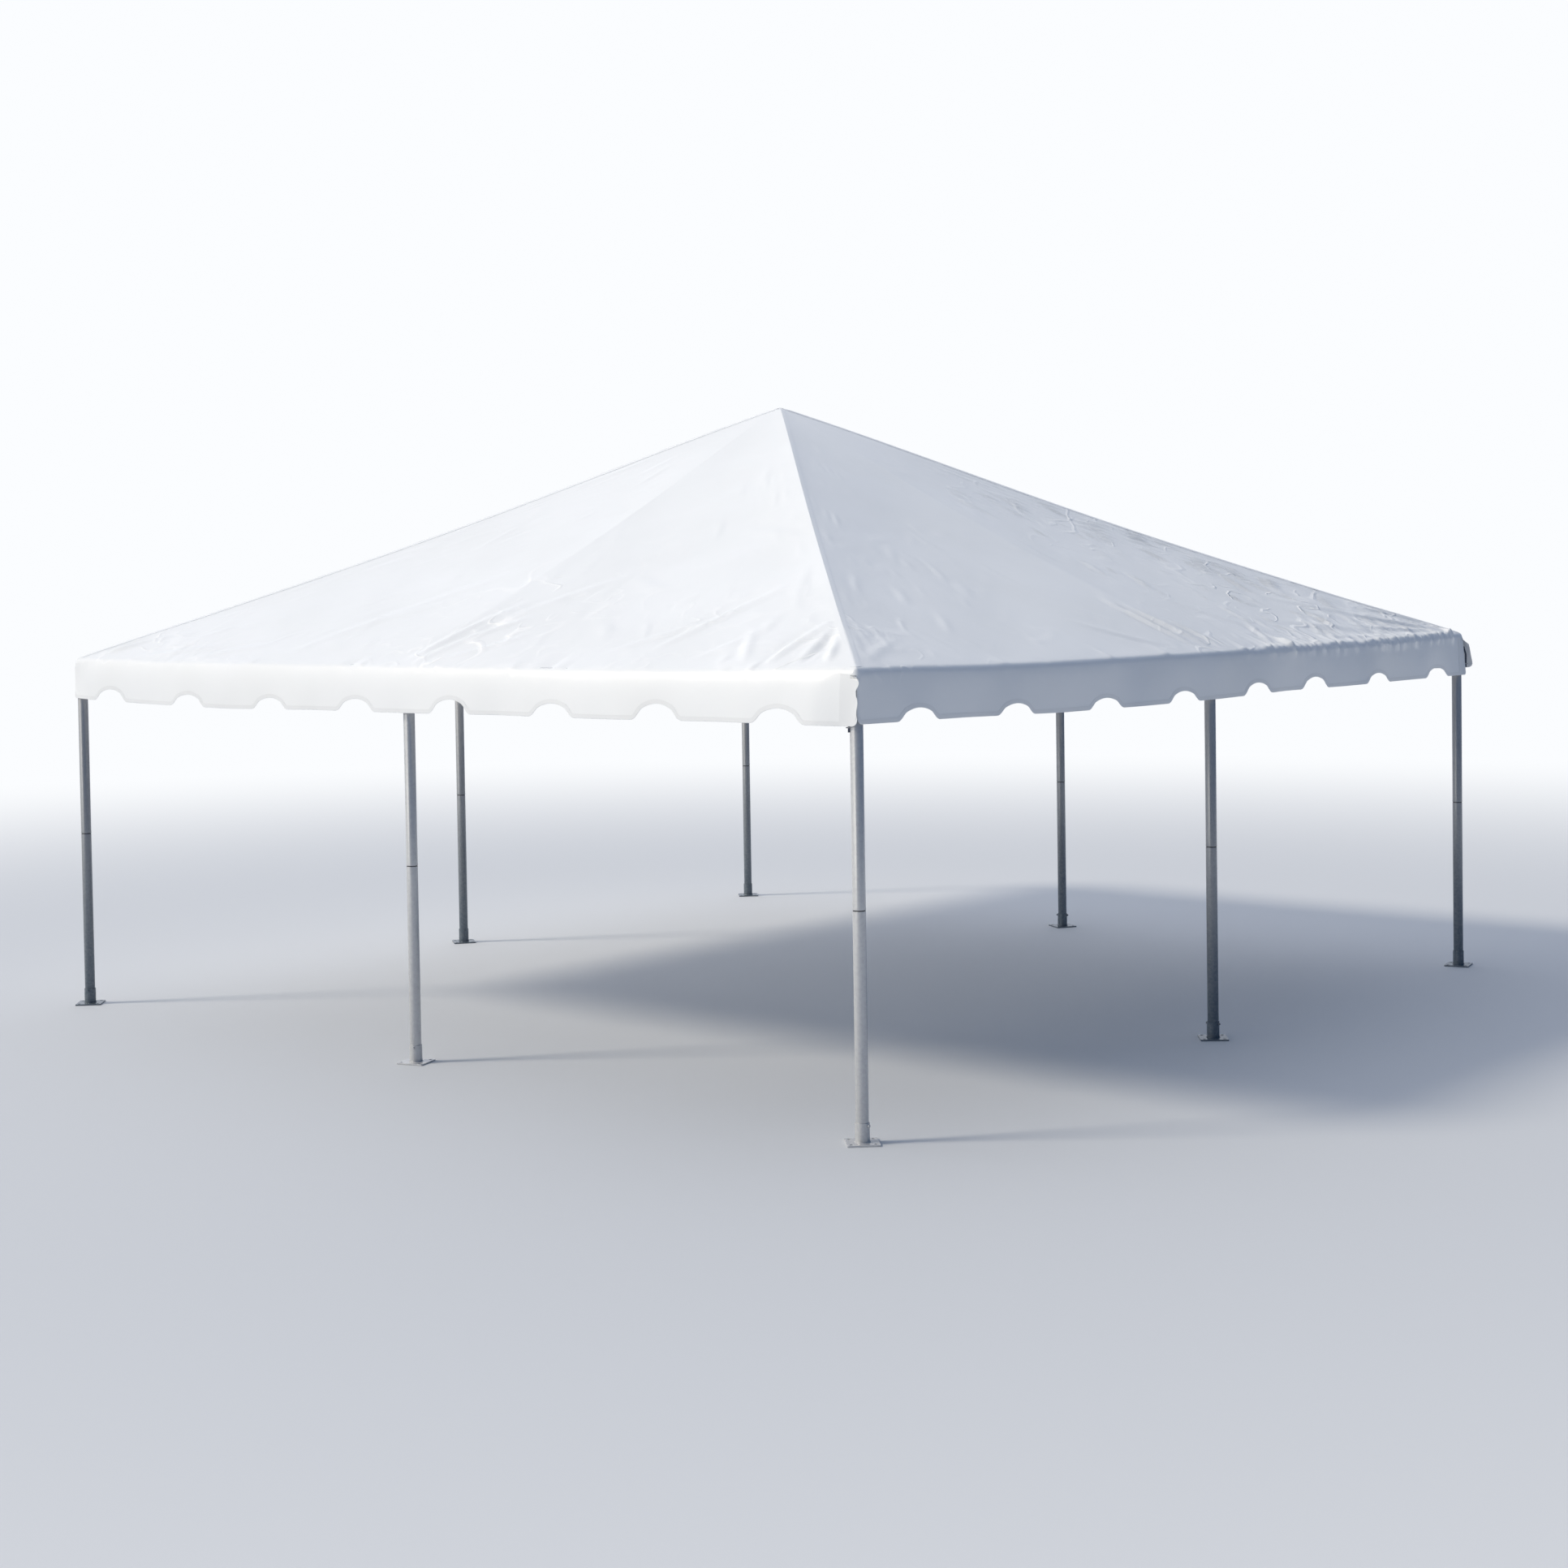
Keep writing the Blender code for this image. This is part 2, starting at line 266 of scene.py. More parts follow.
def newMaterial(name, metallic, roughness):
    material = bpy.data.materials.new(name)
    material.use_nodes = True
    shader = material.node_tree.nodes["Principled BSDF"]
    fill(shader, {"Metallic": metallic, "Roughness": roughness})
    return material, shader


def addNode(material, kind, inputs, **settings):
    # The settings are the node's own, such as its operation
    node = material.node_tree.nodes.new(kind)
    for key, value in settings.items():
        setattr(node, key, value)
    fill(node, inputs)
    return node


def clothPlace(material):
    # Metres across and along the cloth or the pipe
    return addNode(material, "ShaderNodeUVMap", {}, uv_map="cloth").outputs[0]


def bodyPlace(material):
    return addNode(material, "ShaderNodeTexCoord", {}).outputs["Object"]


def noise(material, place, scale, detail=2.0, distortion=0.0):
    inputs = {"Vector": place, "Scale": scale, "Detail": detail, "Distortion": distortion}
    return addNode(material, "ShaderNodeTexNoise", inputs).outputs[0]


def bands(material, place, pitch, direction):
    # Soft bands along a direction; the texture's own are about 0.32 apart
    node = addNode(material, "ShaderNodeTexWave", {"Vector": place, "Scale": 0.32 / pitch},
                   wave_type="BANDS", bands_direction=direction)
    return node.outputs["Fac"]


def ramp(material, source, low, high, outLow=0.0, outHigh=1.0):
    # A value from low to high, brought to another range
    inputs = {0: source, 1: low, 2: high, 3: outLow, 4: outHigh}
    return addNode(material, "ShaderNodeMapRange", inputs).outputs[0]


def blended(material, factor, first, second):
    inputs = {0: factor, 6: first, 7: second}
    return addNode(material, "ShaderNodeMix", inputs, data_type="RGBA").outputs[2]


def calculated(material, operation, first, second=0.0, third=0.0):
    inputs = {0: first, 1: second, 2: third}
    return addNode(material, "ShaderNodeMath", inputs, operation=operation).outputs[0]


def bumped(material, height, strength, depth, under=None):
    inputs = {"Height": height, "Strength": strength, "Distance": depth}
    if under:
        inputs["Normal"] = under
    return addNode(material, "ShaderNodeBump", inputs).outputs[0]


vinylLook = {
    "clean": (0.865, 0.88, 0.90, 1),
    "handled": (0.83, 0.845, 0.86, 1),
    "cloudSize": 0.7,              # clouds of the two tones, in metres
    "cloudRange": (0.38, 0.72),
    "weavePitch": 0.0028,          # scrim threads that print through the coating
    "weaveStrength": 0.5,
    "weaveDepth": 0.000012,
    "softSize": 0.09,              # soft unevenness
    "softDepth": 0.0012,
    "creaseSizes": (0.42, 0.22),
    "creaseShift": 3.7,            # keeps the two nets of creases apart, in their sizes
    "creaseThin": 0.036,           # the share of the noise's range that a crease takes
    "creaseKept": (0.46, 0.62),    # the range of the second noise over which creases come in
    "creaseDepth": 0.0045,         # in the crumpled places
    "paintedCreaseGlint": (0.98, 0.98, 0.985, 1),     # painted glints: the crease crests in the crumpled places are coloured near white
    "wearScale": 3.0,
    "wearRange": (0.2, 0.8),
    "roughness": (0.29, 0.35),
    "coat": 0.25,
    "coatRoughness": 0.12,
}


def creaseNet(material, place, size, look):
    # Thin sharp ridges where a noise passes through its middle, kept where a second noise is high
    shift = look["creaseShift"] * size
    moved = addNode(material, "ShaderNodeVectorMath", {0: place, 1: (shift, -shift, 0)},
                    operation="ADD").outputs[0]
    lines = noise(material, moved, 1 / size, 1.5, 0.1)
    off = calculated(material, "ABSOLUTE", calculated(material, "SUBTRACT", lines, 0.5))
    ridge = ramp(material, off, 0.0, look["creaseThin"], 1.0, 0.0)
    where = noise(material, moved, 0.8 / size)
    return calculated(material, "MULTIPLY", ridge, ramp(material, where, *look["creaseKept"]))


def makeVinyl(name, look, tone=1.0):
    # White coated cloth: clouds of two whites, a woven print-through, soft unevenness and sharp creases,
    # whose crests are painted whiter as glints where the cloth is crumpled
    material, shader = newMaterial(name, metallic=0.0, roughness=0.4)
    cloth = clothPlace(material)
    body = bodyPlace(material)
    whites = [tuple(tone * c for c in look[key][:3]) + (1,) for key in ("clean", "handled")]
    clouds = noise(material, body, 1 / look["cloudSize"], 3.0)
    colour = blended(material, ramp(material, clouds, *look["cloudRange"]), *whites)
    nets = [creaseNet(material, body, size, look) for size in look["creaseSizes"]]
    creases = calculated(material, "ADD", *nets)
    crumpled = addNode(material, "ShaderNodeAttribute", {}, attribute_name="crumpled").outputs["Fac"]
    depth = calculated(material, "MULTIPLY", crumpled, look["creaseDepth"])
    soft = noise(material, body, 1 / look["softSize"], 3.0)
    unevenness = calculated(material, "MULTIPLY", soft, look["softDepth"])
    height = calculated(material, "MULTIPLY_ADD", creases, depth, unevenness)
    threads = [bands(material, cloth, look["weavePitch"], direction) for direction in ("X", "Y")]
    weave = calculated(material, "MULTIPLY", *threads)
    wear = noise(material, cloth, look["wearScale"])
    fill(shader, {
        # Painted glints: crease crests in the crumpled places are coloured near white
        "Base Color": blended(material, calculated(material, "MULTIPLY", creases, crumpled), colour,
                              look["paintedCreaseGlint"]),
        "Roughness": ramp(material, wear, *look["wearRange"], *look["roughness"]),
        "Normal": bumped(material, weave, look["weaveStrength"], look["weaveDepth"],
                         bumped(material, height, 1.0, 1.0)),
        "Coat Weight": look["coat"],
        "Coat Roughness": look["coatRoughness"],
    })
    return material


zincLook = {
    "bright": (0.59, 0.595, 0.605, 1),
    "dull": (0.53, 0.535, 0.55, 1),
    "grainRange": (0.1, 0.6),
    "metallic": 0.35,          # the rest is its dull oxide
    "spangle": 0.011,          # size of the zinc's crystals
    "streakLong": 0.25,        # rolling marks along a pipe
    "streakWide": 0.003,
    "unevenSize": 0.03,        # soft runs of zinc
    "unevenDepth": 0.00006,
    "roughness": 0.27,
    "paintedShadeFoot": (0.075, 0.105, 0.135, 1),     # painted shade and reflection of a dark ground: blue grey near the ground
    "paintedShadeTop": (0.45, 0.45, 0.46, 1),
    "paintedShadeHeights": (0.1, 1.9),
    "paintedShadeRange": (0.0, 0.8),
    "paintedShadeShare": (0.85, 1.0),
    "gap": (0.05, 0.05, 0.055, 1),            # the shade in the gap between a leg's two lengths
    "gapHalf": (0.0024, 0.0032),
}


def makeZinc(name, look, paintedShade=False):
    # Galvanised steel: crystals a few millimetres across, and marks drawn out along the pipe
    material, shader = newMaterial(name, look["metallic"], look["roughness"])
    body = bodyPlace(material)
    crystals = addNode(material, "ShaderNodeTexVoronoi", {"Vector": body, "Scale": 1 / look["spangle"]})
    grain = addNode(material, "ShaderNodeSeparateColor", {0: crystals.outputs["Color"]}).outputs[0]
    scale = (1 / look["streakWide"], 1 / look["streakLong"], 1.0)
    drawn = addNode(material, "ShaderNodeMapping", {"Vector": clothPlace(material), "Scale": scale})
    both = calculated(material, "MULTIPLY", grain, noise(material, drawn.outputs[0], 1.0, 3.0))
    colour = blended(material, ramp(material, both, *look["grainRange"]), look["bright"], look["dull"])
    height = addNode(material, "ShaderNodeSeparateXYZ", {0: body}).outputs[2]
    # Painted shade: all legs but the bright ones darken to a blue grey towards the ground, standing in for
    # shade and the dark ground they reflect
    if paintedShade:
        paintedShadeTone = blended(material, ramp(material, height, *look["paintedShadeHeights"]),
                        look["paintedShadeFoot"], look["paintedShadeTop"])
        share = ramp(material, both, *look["paintedShadeRange"], *look["paintedShadeShare"])
        colour = blended(material, share, colour, paintedShadeTone)
    fromGap = calculated(material, "ABSOLUTE", calculated(material, "SUBTRACT", height, jointZ))
    runs = noise(material, body, 1 / look["unevenSize"], 0.0)
    fill(shader, {
        "Base Color": blended(material, ramp(material, fromGap, *look["gapHalf"]), look["gap"], colour),
        "Normal": bumped(material, runs, 1.0, look["unevenDepth"]),
    })
    return material


vinyl = makeVinyl("white vinyl", vinylLook)
tapeVinyl = makeVinyl("vinyl binding", vinylLook, 0.93)
# Vinyl darkened to 0.55 as the painted shadow lines under the strip's folds
foldShadowVinyl = makeVinyl("vinyl painted with fold shadow", vinylLook, 0.55)
brightZinc = makeZinc("galvanised steel", zincLook)
paintedShadeZinc = makeZinc("galvanised steel with painted shade", zincLook, paintedShade=True)
print("materials made")


# The canopy: one sheet of four roof panels, which bend over the eave pipes into scalloped flaps
canopyPlan = {
    "lift": 0.0028,           # from a pipe's skin to the middle of the cloth
    "rollRadius": 0.045,
    "standsOut": 0.0375,      # face of the flaps beyond the line of the legs
    "columns": {"front": 172, "right": 256, "back": 144, "left": 144},
    "skew": {"front": 0.0, "right": 0.2, "back": 0.0, "left": 0.0},      # closer columns at the right end
    "crowding": 0.2,          # columns stand closer at the corners by this share
    "roofRows": 84,
    "rowCrowding": 1.35,      # the power that brings the rows closer towards the eave
    "fineRows": 20,           # rows above the eave with twice the columns, as the roll and the flaps have
    "rollRows": 6,
    "flapRows": 9,
    "sag": 0.026,
    "foldsFade": (0.12, 0.08),       # within this distance of a hip, and of the eave
    "gathersFade": 0.05,             # of a hip
    "gathersFrom": 0.02,             # their highest line, beyond the start of the roll
    "gatherDeepest": 0.0015,         # into the roll
    "overRafter": (0.3, 0.1),        # share of the billows that a mid rafter leaves, and within which x
    "apexRadius": 0.03,
    "cornerRadius": 0.035,
}
rollRadius = canopyPlan["rollRadius"]
clothRadius = pipeRadius + canopyPlan["lift"]
eaveOut = half + canopyPlan["standsOut"]
rollOut = eaveOut - rollRadius
rollZ = eaveZ + (clothRadius - rollRadius - np.sin(slope) * (rollOut - half)) / np.cos(slope)
rollStart = rollOut + rollRadius * np.sin(slope)      # where the cloth leaves the plane of the roof

# Folds that the photograph shows on two panels: x and distance from the peak at one end, the same at
# the other end, then height, width and bow
frontFolds = [
    (0.02, 3.03, 0.42, 2.52, 0.0115, 0.030, 0.02),
    (0.10, 3.04, 0.60, 2.72, 0.0081, 0.026, -0.03),
    (-0.05, 3.02, 0.22, 2.35, 0.0095, 0.034, 0.02),
    (0.20, 2.60, 0.75, 1.95, 0.0061, 0.035, 0.02),
    (1.62, 2.88, 1.98, 2.12, 0.0115, 0.028, 0.01),
    (1.30, 2.95, 1.75, 2.55, 0.0065, 0.026, 0.02),
    (1.95, 3.00, 2.20, 2.60, 0.0054, 0.026, -0.02),
    (2.50, 3.05, 2.56, 2.58, 0.0135, 0.028, 0.02),
    (2.72, 3.03, 2.64, 2.66, -0.0135, 0.024, -0.01),
    (2.86, 3.03, 2.74, 2.78, 0.0128, 0.024, 0.00),
    (2.35, 3.00, 2.16, 2.70, 0.0068, 0.028, 0.02),
    (-2.90, 3.03, -2.50, 2.78, 0.0115, 0.026, 0.02),
    (-2.85, 2.99, -2.66, 2.90, 0.0121, 0.024, 0.00),
    (-2.55, 3.04, -1.90, 2.86, 0.0081, 0.030, -0.02),
    (-1.95, 3.03, -1.40, 2.84, 0.0061, 0.028, 0.02),
    (-1.20, 3.00, -0.20, 1.90, 0.0061, 0.050, 0.04),
    (-0.90, 2.60, -0.35, 2.20, 0.0049, 0.034, -0.03),
    (1.05, 1.55, 1.55, 1.66, 0.0054, 0.026, 0.02),
    (0.70, 2.05, 1.10, 2.20, 0.0049, 0.030, -0.02),
    (0.40, 1.40, 0.75, 1.05, 0.0049, 0.028, 0.02),
]
rightFolds = [
    (0.05, 3.05, -0.03, 2.52, 0.0150, 0.020, 0.00),
    (-0.06, 3.03, -0.12, 2.42, 0.0120, 0.019, 0.02),
    (0.16, 3.04, 0.12, 2.72, 0.0120, 0.018, -0.02),
    (-0.30, 2.98, -0.80, 2.62, 0.0050, 0.030, 0.03),
    (0.72, 1.36, 0.96, 1.10, 0.0080, 0.018, 0.02),
    (1.05, 1.78, 1.36, 1.44, 0.0090, 0.018, 0.02),
    (1.45, 2.20, 1.78, 1.88, 0.0095, 0.018, -0.02),
    (1.92, 2.42, 2.14, 2.22, 0.0100, 0.018, 0.02),
    (2.12, 2.70, 2.36, 2.46, 0.0100, 0.018, 0.02),
    (2.88, 3.02, 1.90, 2.82, 0.0100, 0.018, 0.04),
    (2.92, 3.03, 2.24, 2.72, 0.0100, 0.017, 0.02),
    (2.94, 3.00, 2.45, 2.62, 0.0090, 0.015, -0.02),
    (2.90, 3.04, 1.30, 2.96, 0.0075, 0.016, 0.03),
    (2.70, 2.92, 1.60, 2.40, 0.0060, 0.030, 0.02),
    (2.60, 3.00, 1.10, 2.70, 0.0050, 0.034, 0.03),
    (-2.92, 3.02, -2.40, 2.80, 0.0050, 0.030, 0.02),
    (-2.90, 3.00, -2.66, 2.72, 0.0045, 0.028, 0.02),
    (1.00, 2.95, 0.45, 2.30, 0.0048, 0.036, 0.03),
]


def mirrored(folds):
    # The same folds, from the other end of a panel
    return [(-x0, d0, -x1, d1, high, wide, -bow) for x0, d0, x1, d1, high, wide, bow in folds]


panelFolds = {
    "front": frontFolds,
    "right": rightFolds,
    "back": mirrored(frontFolds),
    "left": mirrored(rightFolds),
}

# Creases, billows and gathers that are drawn at random, with one generator for each side
creasePlan = {
    "reach": 3.0,
    "bow": 0.1,               # of a crease's length
    "short": {"count": 240, "turns": (-0.9, -0.7, 0.75, 0.95, 0.1, 1.5), "spread": 0.18,
              "long": (0.07, 0.34), "high": (0.0008, 0.0032), "wide": (0.014, 0.03)},
    # Narrow ones on the right panel's far half
    "sharp": {"count": 90, "turns": (-0.55, -0.8, -1.0, -1.25, -1.75), "spread": 0.15,
              "long": (0.06, 0.30), "high": (0.004, 0.011), "wide": (0.012, 0.018)},
}
billowPlan = {"count": 6, "long": (0.5, 1.3), "high": 0.0035}
gatherPlan = {
    "count": {"front": 60, "right": 170, "back": 46, "left": 46},
    "reach": 2.95,
    "wide": (0.012, 0.035),
    "high": 0.0022,
    "long": (0.05, 0.16),
    "steep": (1.5, 0.7),      # widths to the left and right of a gather's middle
    "crowd": 0.8,             # this share of the right side's stands along its far half, narrow and high
    "crowdPlaces": (0.25, 2.72),     # the nearest, and how far they reach beyond it
    "crowdWide": (0.010, 0.019),
    "crowdHigh": (0.002, 0.010),
    "crowdLong": (0.03, 0.14),
}


def drawWays(rng, plan):
    # Turn, length, height and width of each crease
    count = plan["count"]
    turn = rng.choice(plan["turns"], count) + rng.normal(0, plan["spread"], count)
    return [turn] + [rng.uniform(*plan[key], count) for key in ("long", "high", "wide")]


def drawCreases(rng, side, plan):
    # Short creases from folding and packing, thicker on the ground towards the eave and its ends
    count = plan["short"]["count"]
    distance = plan["reach"] * np.sqrt(rng.uniform(0.05, 1, count))
    x = distance * np.sin(rng.uniform(-1, 1, count) * np.pi / 2) * 0.95
    lists = [[x, distance] + drawWays(rng, plan["short"])]
    if side == "right":
        # Sharp ones join them, towards the hip and the eave of the far half
        count = plan["sharp"]["count"]
        distance = rollStart * (1 - 0.62 * rng.uniform(0, 1, count) ** 1.8)
        x = distance * (0.15 + 0.82 * rng.uniform(0, 1, count) ** 0.7)
        lists.append([x, distance] + drawWays(rng, plan["sharp"]))
    x, distance, turn, long, high, wide = np.concatenate(lists, axis=1)
    bow = rng.uniform(-plan["bow"], plan["bow"], len(x)) * long
    farX, farDistance = x + long * np.cos(turn), distance + long * np.sin(turn)
    return np.stack([x, distance, farX, farDistance, high, wide, bow], axis=1)


def drawBillows(rng, plan):
    # Direction, length and start of each wave
    return [(rng.uniform(0, np.pi), rng.uniform(*plan["long"]), rng.uniform(0, 2 * np.pi))
            for _ in range(plan["count"])]


def drawGathers(rng, side, plan):
    # Place along the eave, width, height and length of each gather
    count = plan["count"][side]
    place = rng.uniform(-plan["reach"], plan["reach"], count)
    wide = rng.uniform(*plan["wide"], count)
    high = rng.normal(0, plan["high"], count)
    long = rng.uniform(*plan["long"], count)
    if side == "right":
        many = int(plan["crowd"] * count)
        start, reach = plan["crowdPlaces"]
        place[:many] = start + reach * rng.uniform(0, 1, many) ** 0.8
        wide[:many] = rng.uniform(*plan["crowdWide"], many)
        high[:many] = rng.uniform(*plan["crowdHigh"], many)
        long[:many] = rng.uniform(*plan["crowdLong"], many)
    return list(zip(place, wide, high, long))


def drawSide(side):
    rng = np.random.default_rng(20 + sides[side])
    creases = drawCreases(rng, side, creasePlan)
    billows = drawBillows(rng, billowPlan)
    return creases, billows, drawGathers(rng, side, gatherPlan)


drawnShapes = {side: drawSide(side) for side in sides}


def foldHeight(x, distance, folds):
    # Each fold is highest at its middle; across it is a bell with a shallow trough on one side
    x0, d0, x1, d1, high, wide, bow = np.array(folds).T[:, :, None]
    long = np.hypot(x1 - x0, d1 - d0)
    along = ((x - x0) * (x1 - x0) + (distance - d0) * (d1 - d0)) / long ** 2
    off = ((x - x0) * (d1 - d0) - (distance - d0) * (x1 - x0)) / long - 4 * bow * along * (1 - along)
    body = np.sin(np.pi * np.clip(along, 0, 1)) ** 0.8
    shape = np.exp(-(off / wide) ** 2) - 0.45 * np.exp(-((off - 1.8 * wide) / (1.2 * wide)) ** 2)
    return (high * body * shape).sum(axis=0)


def billowHeight(x, distance, billows):
    # A few broad waves that cross each other
    total = np.zeros_like(x)
    for turn, length, start in billows:
        total += np.sin((x * np.cos(turn) + distance * np.sin(turn)) * 2 * np.pi / length + start)
    return total * billowPlan["high"] / len(billows)


def gatherHeight(x, off, gathers):
    # Small gathers across the eave: narrow bells along it that die out away from it
    total = np.zeros_like(x)
    for place, wide, high, long in gathers:
        uneven = wide * np.where(x < place, *gatherPlan["steep"])
        total += high * np.exp(-((x - place) / uneven) ** 2 - (off / long) ** 2)
    return total


def roofPoint(side, across, distance, raised=0.0):
    # Height of the plane over the rafters, less a sag that is deepest two thirds of the way down each
    # half panel, plus billows and folds, and never inside the mid rafter
    plan = canopyPlan
    creases, billows, gathers = drawnShapes[side]
    x = across * distance
    fromHip = distance - np.abs(x)
    out = np.clip(distance / half, 0, 1)
    # With 27 the product of the four shares is 1 at the deepest place
    offset = -plan["sag"] * 27 * (1 - out) * out ** 2 * np.abs(across) * (1 - np.abs(across))
    hipFade, eaveFade = plan["foldsFade"]
    free = smoothStep(fromHip / hipFade) * smoothStep((rollStart - distance) / eaveFade)
    least, reach = plan["overRafter"]
    slack = least + (1 - least) * smoothStep(np.abs(x) / reach)
    folds = np.concatenate([panelFolds[side], creases])
    fold = foldHeight(x.ravel(), distance.ravel(), folds).reshape(x.shape)
    offset = offset + free * (fold + slack * billowHeight(x, distance, billows))
    eave = gatherHeight(x, rollStart + plan["gathersFrom"] - distance, gathers)
    offset = offset + eave * smoothStep(fromHip / plan["gathersFade"])
    onPipe = pipeRadius - np.sqrt(np.maximum(pipeRadius ** 2 - x ** 2, 0))
    offset = np.maximum(offset, -np.where(np.abs(x) < pipeRadius, onPipe, 1.0)) + raised
    height = peakZ + clothRadius / np.cos(slope) - tanSlope * distance - bowOf(distance)
    height = height + liftOf(side, x) * smoothStep(1 - (rollStart - distance) / shapePlan["liftUp"])
    # A small bell is taken off the peak
    apex = plan["apexRadius"]
    height = height - 0.25 * tanSlope * apex * np.exp(-(distance / (0.6 * apex)) ** 2)
    return np.stack([x, -distance - offset * np.sin(slope), height + offset * np.cos(slope)], axis=-1)


def roundedCorner(x, out, radius):
    # Within a radius of the corner the cloth turns on an arc, to the diagonal it shares with the next side
    turn = np.maximum(np.abs(x) - (out - radius), 0) / np.maximum(radius, 1e-9) * np.pi / 4
    bend = turn > 0
    newX = np.where(bend, np.sign(x) * (out - radius + radius * np.sin(turn)), x)
    newOut = np.where(bend, out - radius + radius * np.cos(turn), out)
    return newX, newOut


def leanOf(side, x):
    # How steeply the cloth stands out where the roll ends; it hangs straight at the corners
    return flapPlan["lean"][side] * smoothStep((eaveOut - np.abs(x)) / flapPlan["leanReach"])


def rollPoint(side, across, share):
    # Round the eave pipe: share 0 is where the cloth leaves the roof plane, 1 is where it hangs
    plan = canopyPlan
    angle = slope + (np.pi / 2 - np.arctan(leanOf(side, across * eaveOut)) - slope) * share
    distance = rollOut + rollRadius * np.sin(angle)
    x = across * distance
    off = plan["gathersFrom"] + 2.5 * rollRadius * (angle - slope)
    pucker = np.maximum(gatherHeight(x, off, drawnShapes[side][2]), -plan["gatherDeepest"])
    pucker = pucker * smoothStep((distance - np.abs(x)) / plan["gathersFade"])
    newX, out = roundedCorner(x, distance, plan["cornerRadius"] * smoothStep(share * 1.2 + 0.05))
    height = rollZ + rollRadius * np.cos(angle) + liftOf(side, x)
    return np.stack([newX, -(out + pucker * np.sin(angle)), height + pucker * np.cos(angle)], axis=-1)


# The flaps
flapPlan = {
    "notchWide": 0.34,
    "shoulder": 0.45,             # the share of a notch's half width that its soft shoulder takes
    "tabCorner": 0.03,
    "shuffle": (0.012, 0.003),    # spread of the notches' middles and tops on the back and left
    # The back's notch and tab by the back right corner are higher, and the left's by the front left one
    "endHigher": (0.025, 0.035),
    "wave": 0.00325,
    "waveLengths": (2.3, 1.1, 0.62, 0.37),
    "waveFades": 0.12,            # within this distance of an end
    "fullDrop": 0.22,             # below the roll, where waves and flares are full
    # A flap's right end beyond the corner, or short of it
    "endReach": {"front": 0.003, "right": -0.030, "back": -0.004, "left": -0.026},
    "startReach": {"front": 0.0, "right": 0.0, "back": 0.036, "left": 0.0},      # and its left end
    "endWave": (0.018, 0.089, 0.031, 0.085),     # its height, its pitch, where it starts and how it fades
    "endRadius": (0.020, 0.002),                 # how round the flaps are at the corner, left and right end
    "lap": (0.003, 0.0015, 0.05),                # the right end out, the left end in, and how that fades
    # Middles of the notches along a side, their tops, and the lower edges of the tabs between them
    "front": ((-2.65, -1.87, -1.10, -0.36, 0.40, 1.16, 1.875, 2.64),
              (1.945, 1.928, 1.925, 1.934, 1.946, 1.941, 1.955, 1.950),
              (1.885, 1.866, 1.856, 1.867, 1.867, 1.874, 1.873, 1.880, 1.877)),
    "right": ((-2.645, -1.87, -1.08, -0.33, 0.45, 1.11, 1.89, 2.68),
              (1.941, 1.923, 1.912, 1.914, 1.926, 1.932, 1.924, 1.926),
              (1.886, 1.876, 1.858, 1.854, 1.855, 1.866, 1.863, 1.866, 1.868)),
    "leftEndNotch": 2.80,         # in line with the front's first notch, as the camera sees them
    # How far each end stands out at its lower edge
    "flare": {"front": (0.002, 0.006), "right": (0.0, 0.020),
              "back": (0.090, 0.004), "left": (0.006, -0.008)},
    "flareFades": 0.16,
    "lean": {"front": 0.55, "right": 0.05, "back": 0.25, "left": 0.30},     # slope just below the roll
    "leanReach": 0.25,            # it comes in over this distance from a corner
    "leanFades": 0.075,
}


def notchesOf(side):
    # The front and right are as the photograph shows them, and the others are alike but shuffled
    if side in flapPlan:
        return [np.array(row) for row in flapPlan[side]]
    rng = np.random.default_rng(60 + sides[side])
    alongBy, upBy = flapPlan["shuffle"]
    middles, tops, tabs = (row[::-1] for row in notchesOf("front" if side == "back" else "right"))
    middles = rng.normal(0, alongBy, len(middles)) - middles
    tops = tops + rng.normal(0, upBy, len(tops))
    end = 0 if side == "back" else -1
    tops[end] += flapPlan["endHigher"][0]
    tabs[end] += flapPlan["endHigher"][1]
    if side == "left":
        middles[end] = flapPlan["leftEndNotch"]
    return middles, tops, tabs


def flapEdge(side, x):
    # Lower edge: tabs, and between them notches whose shape is one less the square of the
    # distance from their middle, with soft shoulders, and round corners at the slits
    plan = flapPlan
    middles, tops, tabs = notchesOf(side)
    tabMiddles = np.concatenate([[-eaveOut], (middles[1:] + middles[:-1]) / 2, [eaveOut]])
    low = np.interp(x, tabMiddles, tabs)
    nearest = np.abs(x[..., None] - middles).argmin(axis=-1)
    share = np.minimum(np.abs(x - middles[nearest]) / plan["notchWide"] * 2, 1)
    edge = low + (tops[nearest] - low) * (1 - share ** 2) * smoothStep((1 - share) / plan["shoulder"])
    radius = plan["tabCorner"]
    toEnd = np.clip(eaveOut - np.abs(x), 0, radius)
    return edge + radius - np.sqrt(np.maximum(radius ** 2 - (radius - toEnd) ** 2, 0))


def flapTop(side, x):
    # Where the roll ends
    return rollZ + rollRadius * np.sin(np.arctan(leanOf(side, x))) + liftOf(side, x)


